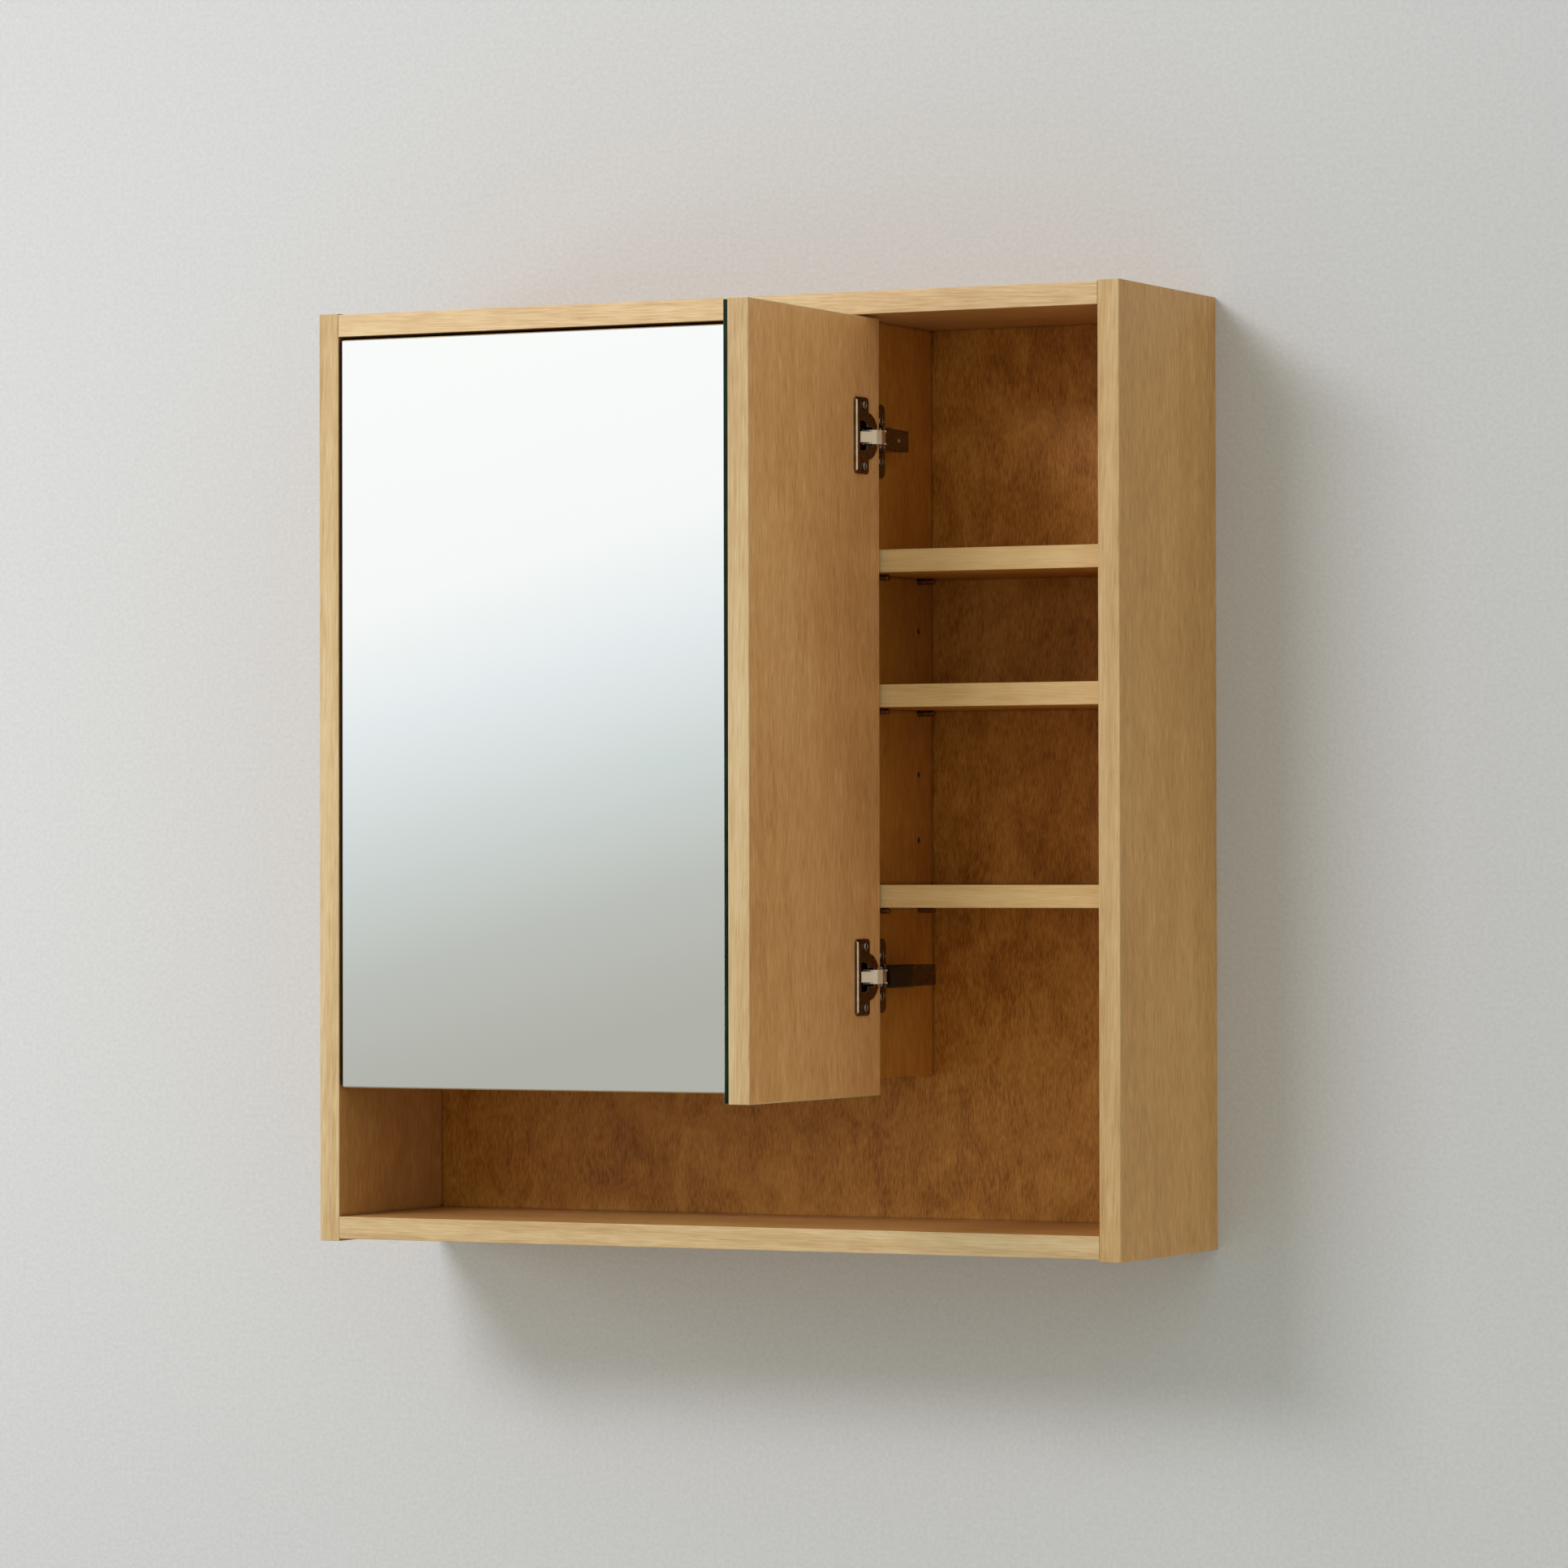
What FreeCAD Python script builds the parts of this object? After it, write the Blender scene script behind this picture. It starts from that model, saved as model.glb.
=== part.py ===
"""Two-door bathroom mirror cabinet on a wall rail, with concealed cup hinges.

Lengths are millimetres.  The cabinet's own corner, from which the sizes below are measured, is its
left, front, bottom corner: X to the right, Y towards the wall, Z up.  The finished model is shifted so
that its origin is the middle of the wall rail's row of screw holes, on the wall.

Each hinge is drawn in a frame of its own: x away from the panel that carries it, y towards the wall
from that panel's front edge, z up from the middle of the hinge.
"""
import FreeCAD, Part
import Sketcher
import math
import os
import re
from FreeCAD import Rotation, Vector

SIZES = [
    ("width", 716, "outside width"),
    ("height", 760, "height of the side panels"),
    ("depth", 192, "depth of the side panels, front to wall"),
    ("board", 18, "thickness of the wooden boards"),
    ("band", 1, "thickness of the wooden edge bands"),
    ("top_drop", 1, "top panel below the ends of the sides"),
    ("bottom_lift", 2, "bottom panel above the ends of the sides"),
    ("right_opening", 222.5, "clear width of the right compartment"),
    ("divider_foot", 137, "lower end of the divider above the cabinet's foot"),
    ("back_thickness", 9, "back panel"),
    ("wall_gap", 12, "space between back panel and wall"),
    ("groove_depth", 6, "depth of the groove that holds the back panel"),
    ("shelf_setback", 24, "shelf fronts behind the cabinet's front"),
    ("shelf_play", 0.75, "gap at each end and at the back of a shelf"),
    ("upper_shelf_drop", 221.6, "underside of the upper shelf below the cabinet's top"),
    ("middle_shelf_drop", 328.2, "underside of the middle shelf below the cabinet's top"),
    ("lower_shelf_level", 273.4, "underside of the lower shelf above the cabinet's foot"),
    ("upper_spare_drop", 42.4, "spare pin holes below the upper shelf's underside"),
    ("middle_spare_drop", 51.8, "spare pin holes below the middle shelf's underside"),
    ("lower_spare_rise", 53.6, "spare pin holes above the lower shelf's underside"),
    ("pin_hole", 5, "diameter of the shelf pin holes"),
    ("pin_hole_depth", 8, "depth of the shelf pin holes"),
    ("front_pin_row", 60.5, "front row of pin holes behind the cabinet's front"),
    ("rear_pin_row", 145, "rear row of pin holes behind the cabinet's front"),
    ("pin_reach", 14, "how far a shelf pin reaches under the shelf"),
    ("dowel", 8, "diameter of the corner dowels"),
    ("dowel_length", 30, "length of the corner dowels"),
    ("dowel_seat", 10, "part of a dowel that sits in the board it meets face on"),
    ("front_dowel_row", 48, "front dowels behind the cabinet's front"),
    ("rear_dowel_row", 148, "rear dowels behind the cabinet's front"),
    ("fit", 0.05, "clearance all round dowels, screws and pins"),
    ("mirror", 4, "thickness of the mirror glass"),
    ("mirror_margin", 0.8, "mirror inside the door's outline"),
    ("mirror_arris", 0.5, "ground edge of the mirror"),
    ("door_foot", 125.5, "lower edge of the doors above the cabinet's foot"),
    ("door_top_gap", 2.5, "gap between the doors and the top panel"),
    ("side_gap", 2.5, "gap between a door and the side panel"),
    ("centre_gap", 3, "gap between the two doors"),
    ("overlay", 8, "how far the right door covers the divider"),
    ("rest_gap", 1.5, "gap between a closed door and the divider"),
    ("bumper", 6, "diameter of the door bumpers"),
    ("bumper_play", 0.2, "gap between a bumper and a closed door"),
    ("bumper_inset", 60, "bumpers from the ends of the divider"),
    ("right_door_angle", 90, "how far the right door stands open"),
    ("left_door_angle", 0, "how far the left door stands open"),
    ("upper_hinge_drop", 115.5, "middle of the upper hinges below the cabinet's top"),
    ("lower_hinge_level", 219, "middle of the lower hinges above the cabinet's foot"),
    ("open_reach", 25, "back of a door open at 90 degrees, from the panel's face"),
    ("open_advance", 3, "hinge edge of a door open at 90 degrees, before the panel's edge"),
    ("cup", 35, "diameter of the hinge cup"),
    ("cup_inset", 22, "middle of the cup from the door's hinge edge"),
    ("cup_depth", 12.8, "depth of the cup below the door's back"),
    ("cup_play", 0.1, "gap round the cup in its bore"),
    ("cup_wall", 0.7, "sheet thickness of the cup"),
    ("flange", 1.2, "thickness of the cup's flange"),
    ("flange_length", 60, "height of the cup's flange"),
    ("flange_near", 21, "near edge of the flange strip from the door's hinge edge"),
    ("flange_far", 45.5, "far edge of the flange strip from the door's hinge edge"),
    ("flange_roll", 3, "height and width of the rolled far edge"),
    ("flange_roll_end", 1.8, "rolled far edge inside the ends of the flange"),
    ("flange_roll_corner", 1.3, "radius of the rolled edge's top"),
    ("flange_corner", 3.5, "corner radius of the flange"),
    ("rim", 36.4, "diameter of the flange's round rim"),
    ("mouth_length", 23.6, "height of the mouth in the flange"),
    ("mouth_far", 36.5, "far edge of the mouth from the door's hinge edge"),
    ("mouth_near", 24, "near edge of the mouth from the door's hinge edge"),
    ("mouth_corner", 4, "radius of the mouth's near corners"),
    ("cup_ear_width", 6, "width of the cup's two ears"),
    ("cup_ear_depth", 9.6, "how far the cup's ears reach below the door's back"),
    ("cup_screw_inset", 29, "cup screws from the door's hinge edge"),
    ("cup_screw_spacing", 48, "distance between the two cup screws"),
    ("cup_screw", 3.5, "diameter of the cup screws"),
    ("cup_screw_length", 13, "length of the cup screws below the flange"),
    ("cup_screw_head", 7, "diameter of the cup screws' heads"),
    ("plate_line", 37, "plate screws behind the panel's front edge"),
    ("plate_screw_spacing", 32, "distance between the two plate screws"),
    ("plate_screw", 5, "diameter of the plate screws"),
    ("plate_screw_head", 9, "diameter of the plate screws' heads"),
    ("screw_head_height", 1.4, "height of the cup and plate screws' heads"),
    ("plate_screw_length", 11, "depth of the plate screws in the panel"),
    ("plate_wing", 16, "width of the mounting plate's wings"),
    ("plate_wing_length", 59, "height over the mounting plate's wings"),
    ("plate_wing_corner", 5.85, "corner radius of the mounting plate's wings"),
    ("plate_wing_height", 7, "height of the wings above the panel"),
    ("wing_notch", 2.4, "width of the notches in the wings' edges"),
    ("wing_notch_depth", 4, "depth of the notches in the wings' edges"),
    ("plate_block_front", 24, "front of the plate's block behind the panel's edge"),
    ("arm_sheet", 1.2, "sheet thickness of the arm"),
    ("arm_height", 24, "outer face of the arm above the panel"),
    ("arm_front", 8.5, "front of the arm's body behind the panel's edge"),
    ("arm_length", 46, "length of the upper hinges' arm body"),
    ("long_arm_length", 94.5, "length of the lower hinges' arm body"),
    ("arm_width", 19, "width of the arm's body at its front"),
    ("arm_rear_width", 17, "width of the arm's body at its rear"),
    ("arm_cheek", 11, "height of the arm's cheeks"),
    ("arm_corner", 1.5, "outside radius of the arm's pressed edges"),
    ("arm_step", 0.4, "drop of the arm's face at its rear end"),
    ("arm_step_length", 9.8, "length of the stepped rear end"),
    ("arm_play", 0.3, "gap between the arm and the plate's block"),
    ("arm_screw", 4, "diameter of the arm's fixing screw"),
    ("arm_screw_length", 14, "length of the arm's fixing screw"),
    ("arm_screw_line", 35, "arm screw behind the panel's edge"),
    ("yoke_half_gap", 6.2, "half the gap between the arm's two ears"),
    ("ear_root", 10, "length along the arm over which its ears run out"),
    ("ear_radius", 2.4, "radius of the arm's ears round the pivots"),
    ("eye_radius", 1.9, "radius of the links' eyes round the pivots"),
    ("pivot_pin", 2, "diameter of the hinge's pivot pins"),
    ("pin_head", 0.3, "how far the arm pins stand out of the arm's ears"),
    ("inner_pivot_x", 2, "inner link's cup pivot from the panel's face, door closed"),
    ("inner_pivot_y", -7, "inner link's cup pivot from the panel's edge, door closed"),
    ("inner_reach", 36, "inner link's arm pivot from the door's turning point"),
    ("inner_half_width", 3.6, "half the width of the inner link"),
    ("inner_sheet", 1.2, "thickness of the inner link"),
    ("outer_pivot_x", 6.5, "outer link's cup pivot from the panel's face, door closed"),
    ("outer_pivot_y", -8.5, "outer link's cup pivot from the panel's edge, door closed"),
    ("outer_reach", 25.5, "outer link's arm pivot from the door's turning point"),
    ("outer_half_width", 5.6, "half the width of the outer link"),
    ("outer_sheet", 1.3, "thickness of the outer link"),
    ("outer_lug", 1.5, "half the height of the outer link's lugs"),
    ("outer_stub", 0.4, "how far the outer link's cup pivots stand out of its lugs"),
    ("tongue_half_width", 3.2, "half the width of the outer link's tongue"),
    ("damper_length", 43, "length of the soft-close damper"),
    ("damper_height", 5.5, "height of the damper above the arm"),
    ("damper_width", 18.4, "width of the damper"),
    ("damper_nose", 3, "bevel at the damper's front corners"),
    ("damper_bulge", 1, "rise of the damper's face between its ends"),
    ("damper_corner", 2.4, "radius of the damper's top edges"),
    ("rail_drop", 92, "wall rail's screw holes below the cabinet's top"),
    ("rail_height", 60, "height of the wall rail"),
    ("rail_play", 0.5, "gap that lets the two rails slide together"),
    ("rail_hole", 6, "diameter of the wall rail's screw holes"),
    ("rail_hole_spacing", 200, "distance between the wall rail's screw holes"),
]
RAIL_HOLES = 4
BEND = 1.6  # inside radius of the links' bends
NEAR = 0.01  # what counts as the same place when edges are picked

doc = FreeCAD.newDocument("MirrorCabinet")
sheet = doc.addObject("Spreadsheet::Sheet", "Sizes")
for row, (alias, value, meaning) in enumerate(SIZES, start=1):
    sheet.set(f"A{row}", meaning)
    sheet.set(f"B{row}", str(value))
    sheet.setAlias(f"B{row}", alias)
doc.recompute()

ALIASES = {alias for alias, value, meaning in SIZES}
NODES = []


# Words that are worked out from the sheet, as expressions.
DIVIDER_FACE = "(width - board - right_opening)"
DOOR_THICKNESS = "(board + mirror)"
PANEL_EDGE = "(board + mirror + rest_gap)"
BACK_FACE = "(depth - wall_gap - back_thickness)"
TOP_UNDERSIDE = "(height - top_drop - board)"
DOOR_HEIGHT = f"({TOP_UNDERSIDE} - door_top_gap - door_foot)"
PACKING = "(overlay + side_gap)"
POLE_X = "((open_reach - overlay - open_advance + rest_gap) / 2)"
POLE_Y = "(-(open_reach + overlay + open_advance + rest_gap) / 2)"
HINGE_SIDES = {
    "right": {"face": DIVIDER_FACE, "packing": "0", "angle": "right_door_angle"},
    "left": {"face": "board", "packing": PACKING, "angle": "left_door_angle"},
}
HINGE_LEVELS = {"upper": "(height - upper_hinge_drop)", "lower": "lower_hinge_level"}
SHELF_LEVELS = {
    "upper": "(height - upper_shelf_drop)",
    "middle": "(height - middle_shelf_drop)",
    "lower": "lower_shelf_level",
}
SPARE_LEVELS = (
    f"({SHELF_LEVELS['upper']} - upper_spare_drop)",
    f"({SHELF_LEVELS['middle']} - middle_spare_drop)",
    f"({SHELF_LEVELS['lower']} + lower_spare_rise)",
)
RAIL_LINE = "(height - rail_drop)"
PIN_ROWS = ("front_pin_row", "rear_pin_row")
DOWEL_ROWS = ("front_dowel_row", "rear_dowel_row")


def formula(text):
    """Turn plain sheet words into a FreeCAD expression."""
    return re.sub(r"[a-z_]{3,}",
                  lambda word: f"Sizes.{word.group()}" if word.group() in ALIASES else word.group(),
                  str(text))


def number(text):
    """The plain number that a formula gives."""
    ruler.setExpression("Value", formula(text))
    ruler.recompute()
    return ruler.Value


def stand(piece, x, y, z, pivot=None):
    """Put a piece's own origin at x, y, z of the cabinet; pivot is (x, y, angle) of its turn about Z."""
    if pivot:
        pivot_x, pivot_y, angle = pivot
        run = f"(({x}) - ({pivot_x}))"
        rise = f"(({y}) - ({pivot_y}))"
        x = f"({pivot_x}) + {run} * cos({angle}) - {rise} * sin({angle})"
        y = f"({pivot_y}) + {run} * sin({angle}) + {rise} * cos({angle})"
        piece.setExpression("Placement.Rotation.Angle", formula(angle))
    piece.setExpression("Placement.Base.x", formula(f"{x} - width / 2"))
    piece.setExpression("Placement.Base.y", formula(f"{y} - depth"))
    piece.setExpression("Placement.Base.z", formula(f"{z} - {RAIL_LINE}"))


def node(piece, label):
    """Name a finished sub-part."""
    piece.Label = label
    NODES.append(piece)
    return piece


def new_body(label):
    return node(doc.addObject("PartDesign::Body", label), label)


def sketch_on(body, role, offset="0"):
    """A sketch on one of the body's own planes, moved along that plane's normal."""
    sketch = body.newObject("Sketcher::SketchObject", f"{body.Name}_sketch")
    plane = next(feature for feature in body.Origin.OriginFeatures if feature.Role == role)
    sketch.AttachmentSupport = (plane, [""])
    sketch.MapMode = "FlatFace"
    sketch.setExpression("AttachmentOffset.Base.z", formula(offset))
    return sketch


def tie(sketch, kind, places, text):
    """Add a dimension that follows a formula."""
    index = sketch.addConstraint(Sketcher.Constraint(kind, *places, number(text)))
    sketch.renameConstraint(index, f"size{index}")
    sketch.setExpression(f"Constraints.size{index}", formula(text))


def outline(sketch, points):
    """A closed outline of straight lines through points given as pairs of formulas."""
    first = sketch.GeometryCount
    corners = [Vector(number(x), number(y), 0) for x, y in points]
    for start, end in zip(corners, corners[1:] + corners[:1]):
        sketch.addGeometry(Part.LineSegment(start, end), False)
    for step, (x, y) in enumerate(points):
        line = first + step
        sketch.addConstraint(Sketcher.Constraint("Coincident", line, 2, first + (step + 1) % len(points), 1))
        tie(sketch, "DistanceX", (-1, 1, line, 1), x)
        tie(sketch, "DistanceY", (-1, 1, line, 1), y)


def rectangle(sketch, x, y, wide, high):
    right = f"({x}) + ({wide})"
    top = f"({y}) + ({high})"
    outline(sketch, [(x, y), (right, y), (right, top), (x, top)])


def circle(sketch, x, y, diameter):
    centre = Vector(number(x), number(y), 0)
    index = sketch.addGeometry(Part.Circle(centre, Vector(0, 0, 1), number(diameter) / 2), False)
    tie(sketch, "DistanceX", (-1, 1, index, 3), x)
    tie(sketch, "DistanceY", (-1, 1, index, 3), y)
    tie(sketch, "Diameter", (index,), diameter)


def extrude(body, kind, sketch, length, reverse=False):
    """Pad or pocket a sketch; a pocket cuts against the sketch's normal unless reversed."""
    feature = body.newObject(f"PartDesign::{kind}", f"{body.Name}_{kind}")
    feature.Profile = sketch
    feature.Reversed = reverse
    feature.setExpression("Length", formula(length))
    return feature


def picked(base, chosen):
    """Names of a feature's edges whose bounding box is chosen."""
    doc.recompute()
    return [f"Edge{index}" for index, edge in enumerate(base.Shape.Edges, start=1) if chosen(edge.BoundBox)]


def round_off(body, base, chosen, radius):
    """Fillet the chosen edges of a body's feature."""
    fillet = body.newObject("PartDesign::Fillet", f"{body.Name}_Fillet")
    fillet.Base = (base, picked(base, chosen))
    fillet.setExpression("Radius", formula(radius))
    return fillet


def drill(body, role, offset, holes, depth, reverse=False):
    """Round holes, each (x, y, diameter) on a plane of the body."""
    sketch = sketch_on(body, role, offset)
    for x, y, diameter in holes:
        circle(sketch, x, y, diameter)
    extrude(body, "Pocket", sketch, depth, reverse)


def block(x, y, z, wide, deep, high):
    """A plain box; its corner is measured in the group that holds it."""
    box = doc.addObject("Part::Box", "Box")
    for name, text in (("Length", wide), ("Width", deep), ("Height", high)):
        box.setExpression(name, formula(text))
    for axis, text in (("x", x), ("y", y), ("z", z)):
        box.setExpression(f"Placement.Base.{axis}", formula(text))
    return box


def rod(x, y, z, diameter, length, axis):
    """A plain round bar from x, y, z along an axis."""
    bar = doc.addObject("Part::Cylinder", "Rod")
    bar.setExpression("Radius", formula(f"({diameter}) / 2"))
    bar.setExpression("Height", formula(length))
    bar.Placement.Rotation = Rotation(Vector(0, 0, 1), axis)
    for name, text in (("x", x), ("y", y), ("z", z)):
        bar.setExpression(f"Placement.Base.{name}", formula(text))
    return bar


def join(pieces):
    """One solid from several touching ones."""
    fuse = doc.addObject("Part::MultiFuse", "Joined")
    fuse.Shapes = pieces
    fuse.Refine = True
    return fuse


def group(label, pieces):
    """Separate solids of one kind that share a node."""
    compound = doc.addObject("Part::Compound", label)
    compound.Links = pieces
    return node(compound, label)


ruler = doc.addObject("App::FeaturePython", "Ruler")
ruler.addProperty("App::PropertyFloat", "Value")


# ------------------------------------------------------------------ carcass and shelves

def board(label, x, wide, y, deep, z, high):
    """A plain board; all six are formulas in the cabinet's own measure."""
    body = new_body(label)
    sketch = sketch_on(body, "XY_Plane")
    rectangle(sketch, "0", "0", wide, deep)
    extrude(body, "Pad", sketch, high)
    stand(body, x, y, z)
    return body


def drill_sideways(body, face, x, y, z, holes, depth, reverse=False):
    """Holes along X; each (y, z, diameter) is in the cabinet's measure, like the board's corner."""
    local = [(f"({hole_y}) - ({y})", f"({hole_z}) - ({z})", f"({hole}) + 2 * fit")
             for hole_y, hole_z, hole in holes]
    drill(body, "YZ_Plane", face, local, depth, reverse)


def pin_places():
    """Every shelf pin hole of one panel face: its row and height."""
    used = [f"{level} - pin_hole / 2" for level in SHELF_LEVELS.values()]
    return [(row, level, "pin_hole") for row in PIN_ROWS for level in (*used, *SPARE_LEVELS)]


def plate_screw_places():
    """Both mounting plates' screws on one panel: place behind the cabinet's front and height."""
    line = f"{PANEL_EDGE} + plate_line"
    return [(line, f"{level} {sign} plate_screw_spacing / 2", "plate_screw")
            for level in HINGE_LEVELS.values() for sign in "+-"]


def dowel_places(level):
    return [(row, level, "dowel") for row in DOWEL_ROWS]


TOP_MIDDLE = "(height - top_drop - board / 2)"
BOTTOM_MIDDLE = "(bottom_lift + board / 2)"
INSIDE_FOOT = "(bottom_lift + board)"
DIVIDER_LEFT = f"({DIVIDER_FACE} - board)"
DIVIDER_FRONT = f"({PANEL_EDGE} + band)"
SHELF_FRONT = "(shelf_setback + band)"


def side_panel(label, x, inner_face, outward):
    """A side panel with its groove and holes; outward is True where cuts run along +X."""
    body = board(label, x, "board", "band", "depth - band", "0", "height")
    groove = sketch_on(body, "YZ_Plane", inner_face)
    rectangle(groove, f"{BACK_FACE} - band", f"{INSIDE_FOOT} - groove_depth", "back_thickness",
              f"{TOP_UNDERSIDE} - {INSIDE_FOOT} + 2 * groove_depth")
    extrude(body, "Pocket", groove, "groove_depth", outward)
    corner = (inner_face, x, "band", "0")
    drill_sideways(body, *corner, pin_places(), "pin_hole_depth", outward)
    dowels = dowel_places(TOP_MIDDLE) + dowel_places(BOTTOM_MIDDLE)
    drill_sideways(body, *corner, dowels, "dowel_seat + fit", outward)
    return body


def cross_panel(label, z, groove_level):
    """The top or bottom panel: dowelled at both ends and grooved for the back panel."""
    inside = "width - 2 * board"
    body = board(label, "board", inside, "band", "depth - band", z, "board")
    groove = sketch_on(body, "XY_Plane", groove_level)
    rectangle(groove, "0", f"{BACK_FACE} - band", inside, "back_thickness")
    extrude(body, "Pocket", groove, "groove_depth", groove_level == "0")
    ends = [(f"{row} - band", "board / 2", "dowel + 2 * fit") for row in DOWEL_ROWS]
    depth = "dowel_length - dowel_seat + fit"
    drill(body, "YZ_Plane", "0", ends, depth, True)
    drill(body, "YZ_Plane", inside, ends, depth, False)
    return body


def divider():
    """The upright between the compartments, held by dowels in the top panel."""
    high = f"{TOP_UNDERSIDE} - divider_foot"
    corner = (DIVIDER_LEFT, DIVIDER_FRONT, "divider_foot")
    body = board("divider_panel", corner[0], "board", corner[1], f"{BACK_FACE} - {DIVIDER_FRONT}",
                 corner[2], high)
    drill_sideways(body, "board", *corner, pin_places(), "pin_hole_depth", False)
    drill_sideways(body, "0", *corner, pin_places(), "pin_hole_depth", True)
    drill_sideways(body, "board", *corner, plate_screw_places(), "plate_screw_length + fit", False)
    ends = [("board / 2", f"{row} - {DIVIDER_FRONT}", "dowel + 2 * fit") for row in DOWEL_ROWS]
    drill(body, "XY_Plane", high, ends, "dowel_length - dowel_seat + fit", False)


def carcass():
    left = side_panel("left_side_panel", "0", "board", False)
    drill_sideways(left, "board", "0", "band", "0", plate_screw_places(), "plate_screw_length + fit", False)
    side_panel("right_side_panel", "width - board", "0", True)
    top = cross_panel("top_panel", TOP_UNDERSIDE, "0")
    middle = [(f"{DIVIDER_FACE} - 1.5 * board", f"{row} - band", "dowel + 2 * fit") for row in DOWEL_ROWS]
    drill(top, "XY_Plane", "0", middle, "dowel_seat + fit", True)
    cross_panel("bottom_panel", "bottom_lift", "board")
    divider()
    board("back_panel", "board - groove_depth", "width - 2 * board + 2 * groove_depth",
          BACK_FACE, "back_thickness",
          f"{INSIDE_FOOT} - groove_depth", f"{TOP_UNDERSIDE} - {INSIDE_FOOT} + 2 * groove_depth")


def carcass_bands():
    """Solid wood lippings on the front edges of the carcass boards."""
    inside = "width - 2 * board"
    bands = group("carcass_edge_bands", [
        block("0", "0", "0", "board", "band", "height"),
        block("width - board", "0", "0", "board", "band", "height"),
        block("board", "0", TOP_UNDERSIDE, inside, "band", "board"),
        block("board", "0", "bottom_lift", inside, "band", "board"),
        block(DIVIDER_LEFT, PANEL_EDGE, "divider_foot", "board", "band", f"{TOP_UNDERSIDE} - divider_foot"),
    ])
    stand(bands, "0", "0", "0")


def carcass_dowels():
    """Two dowels in each corner and two between the top panel and the divider."""
    dowels = []
    for row in DOWEL_ROWS:
        for level in (TOP_MIDDLE, BOTTOM_MIDDLE):
            for start in ("board - dowel_seat", "width - board + dowel_seat - dowel_length"):
                dowels.append(rod(start, row, level, "dowel", "dowel_length", Vector(1, 0, 0)))
        foot = f"{TOP_UNDERSIDE} + dowel_seat - dowel_length"
        dowels.append(rod(f"{DIVIDER_FACE} - board / 2", row, foot, "dowel", "dowel_length", Vector(0, 0, 1)))
    stand(group("carcass_dowels", dowels), "0", "0", "0")


def shelves():
    """Three shelves in each compartment, each with a lipping of its own."""
    bands = []
    for side, left, right in (("right", DIVIDER_FACE, "(width - board)"), ("left", "board", DIVIDER_LEFT)):
        for name, level in SHELF_LEVELS.items():
            x = f"{left} + shelf_play"
            wide = f"{right} - {left} - 2 * shelf_play"
            board(f"{side}_{name}_shelf", x, wide, SHELF_FRONT, f"{BACK_FACE} - shelf_play - {SHELF_FRONT}",
                  level, "board")
            bands.append(block(x, "shelf_setback", level, wide, "band", "board"))
    stand(group("shelf_edge_bands", bands), "0", "0", "0")


def shelf_pin(face, away, row, level):
    """A round steel pin that sits in the panel's hole and carries the shelf."""
    start = f"{face} - ({away}) * (pin_hole_depth - fit)"
    return rod(start, row, f"{level} - pin_hole / 2", "pin_hole", "pin_hole_depth - fit + pin_reach",
               Vector(away, 0, 0))


def shelf_pins():
    faces = ((DIVIDER_FACE, 1), ("(width - board)", -1), ("board", 1), (DIVIDER_LEFT, -1))
    pins = [shelf_pin(face, away, row, level)
            for face, away in faces for row in PIN_ROWS for level in SHELF_LEVELS.values()]
    stand(group("shelf_pins", pins), "0", "0", "0")


def bevelled_rail(label, corners, holes=()):
    """A rail along X whose section is given in Y and Z; holes (x, z) run through it along Y."""
    body = new_body(label)
    section = sketch_on(body, "YZ_Plane")
    outline(section, corners)
    extrude(body, "Pad", section, RAIL_LENGTH)
    if holes:
        drill(body, "XZ_Plane", "0", [(x, z, "rail_hole") for x, z in holes], "wall_gap", False)
    return body


RAIL_LENGTH = "(width - 2 * board - 2 * rail_play)"
RAIL_THICKNESS = "(wall_gap - rail_play)"


def rails():
    """The wall rail and the cabinet's hanging rail hook into each other along a 45 degree bevel."""
    low = "rail_height - wall_gap"
    wall = bevelled_rail("wall_rail", [("0", "0"), (RAIL_THICKNESS, "0"), (RAIL_THICKNESS, low),
                                       ("0", f"{low} + {RAIL_THICKNESS}")],
                         [(f"{RAIL_LENGTH} / 2 + {step} * rail_hole_spacing", "rail_height / 2")
                          for step in [hole - (RAIL_HOLES - 1) / 2 for hole in range(RAIL_HOLES)]])
    stand(wall, "board + rail_play", "depth - wall_gap + rail_play", f"{RAIL_LINE} - rail_height / 2")
    foot = "rail_height / 2 - wall_gap"
    top = f"{TOP_UNDERSIDE} - {RAIL_LINE}"
    hanging = bevelled_rail("hanging_rail", [("0", f"{foot} + wall_gap + rail_play"),
                                             (RAIL_THICKNESS, f"{foot} + 2 * rail_play"),
                                             (RAIL_THICKNESS, top), ("0", top)])
    stand(hanging, "board + rail_play", "depth - wall_gap", RAIL_LINE)


def door_bumpers():
    """Two soft buttons on the divider's front edge, where the left door closes."""
    door_edge = f"({DIVIDER_FACE} - overlay - centre_gap)"
    place = f"({door_edge} + {DIVIDER_LEFT}) / 2"
    levels = ("divider_foot + bumper_inset", f"{TOP_UNDERSIDE} - bumper_inset")
    buttons = [rod(place, PANEL_EDGE, level, "bumper", "rest_gap - bumper_play", Vector(0, -1, 0))
               for level in levels]
    stand(group("door_bumpers", buttons), "0", "0", "0")


# ------------------------------------------------------------------ doors

DOOR_SPANS = {
    "right": (f"({DIVIDER_FACE} - overlay)", "(right_opening + overlay - side_gap)"),
    "left": ("(board + side_gap)", f"({DIVIDER_FACE} - overlay - centre_gap - board - side_gap)"),
}


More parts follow.
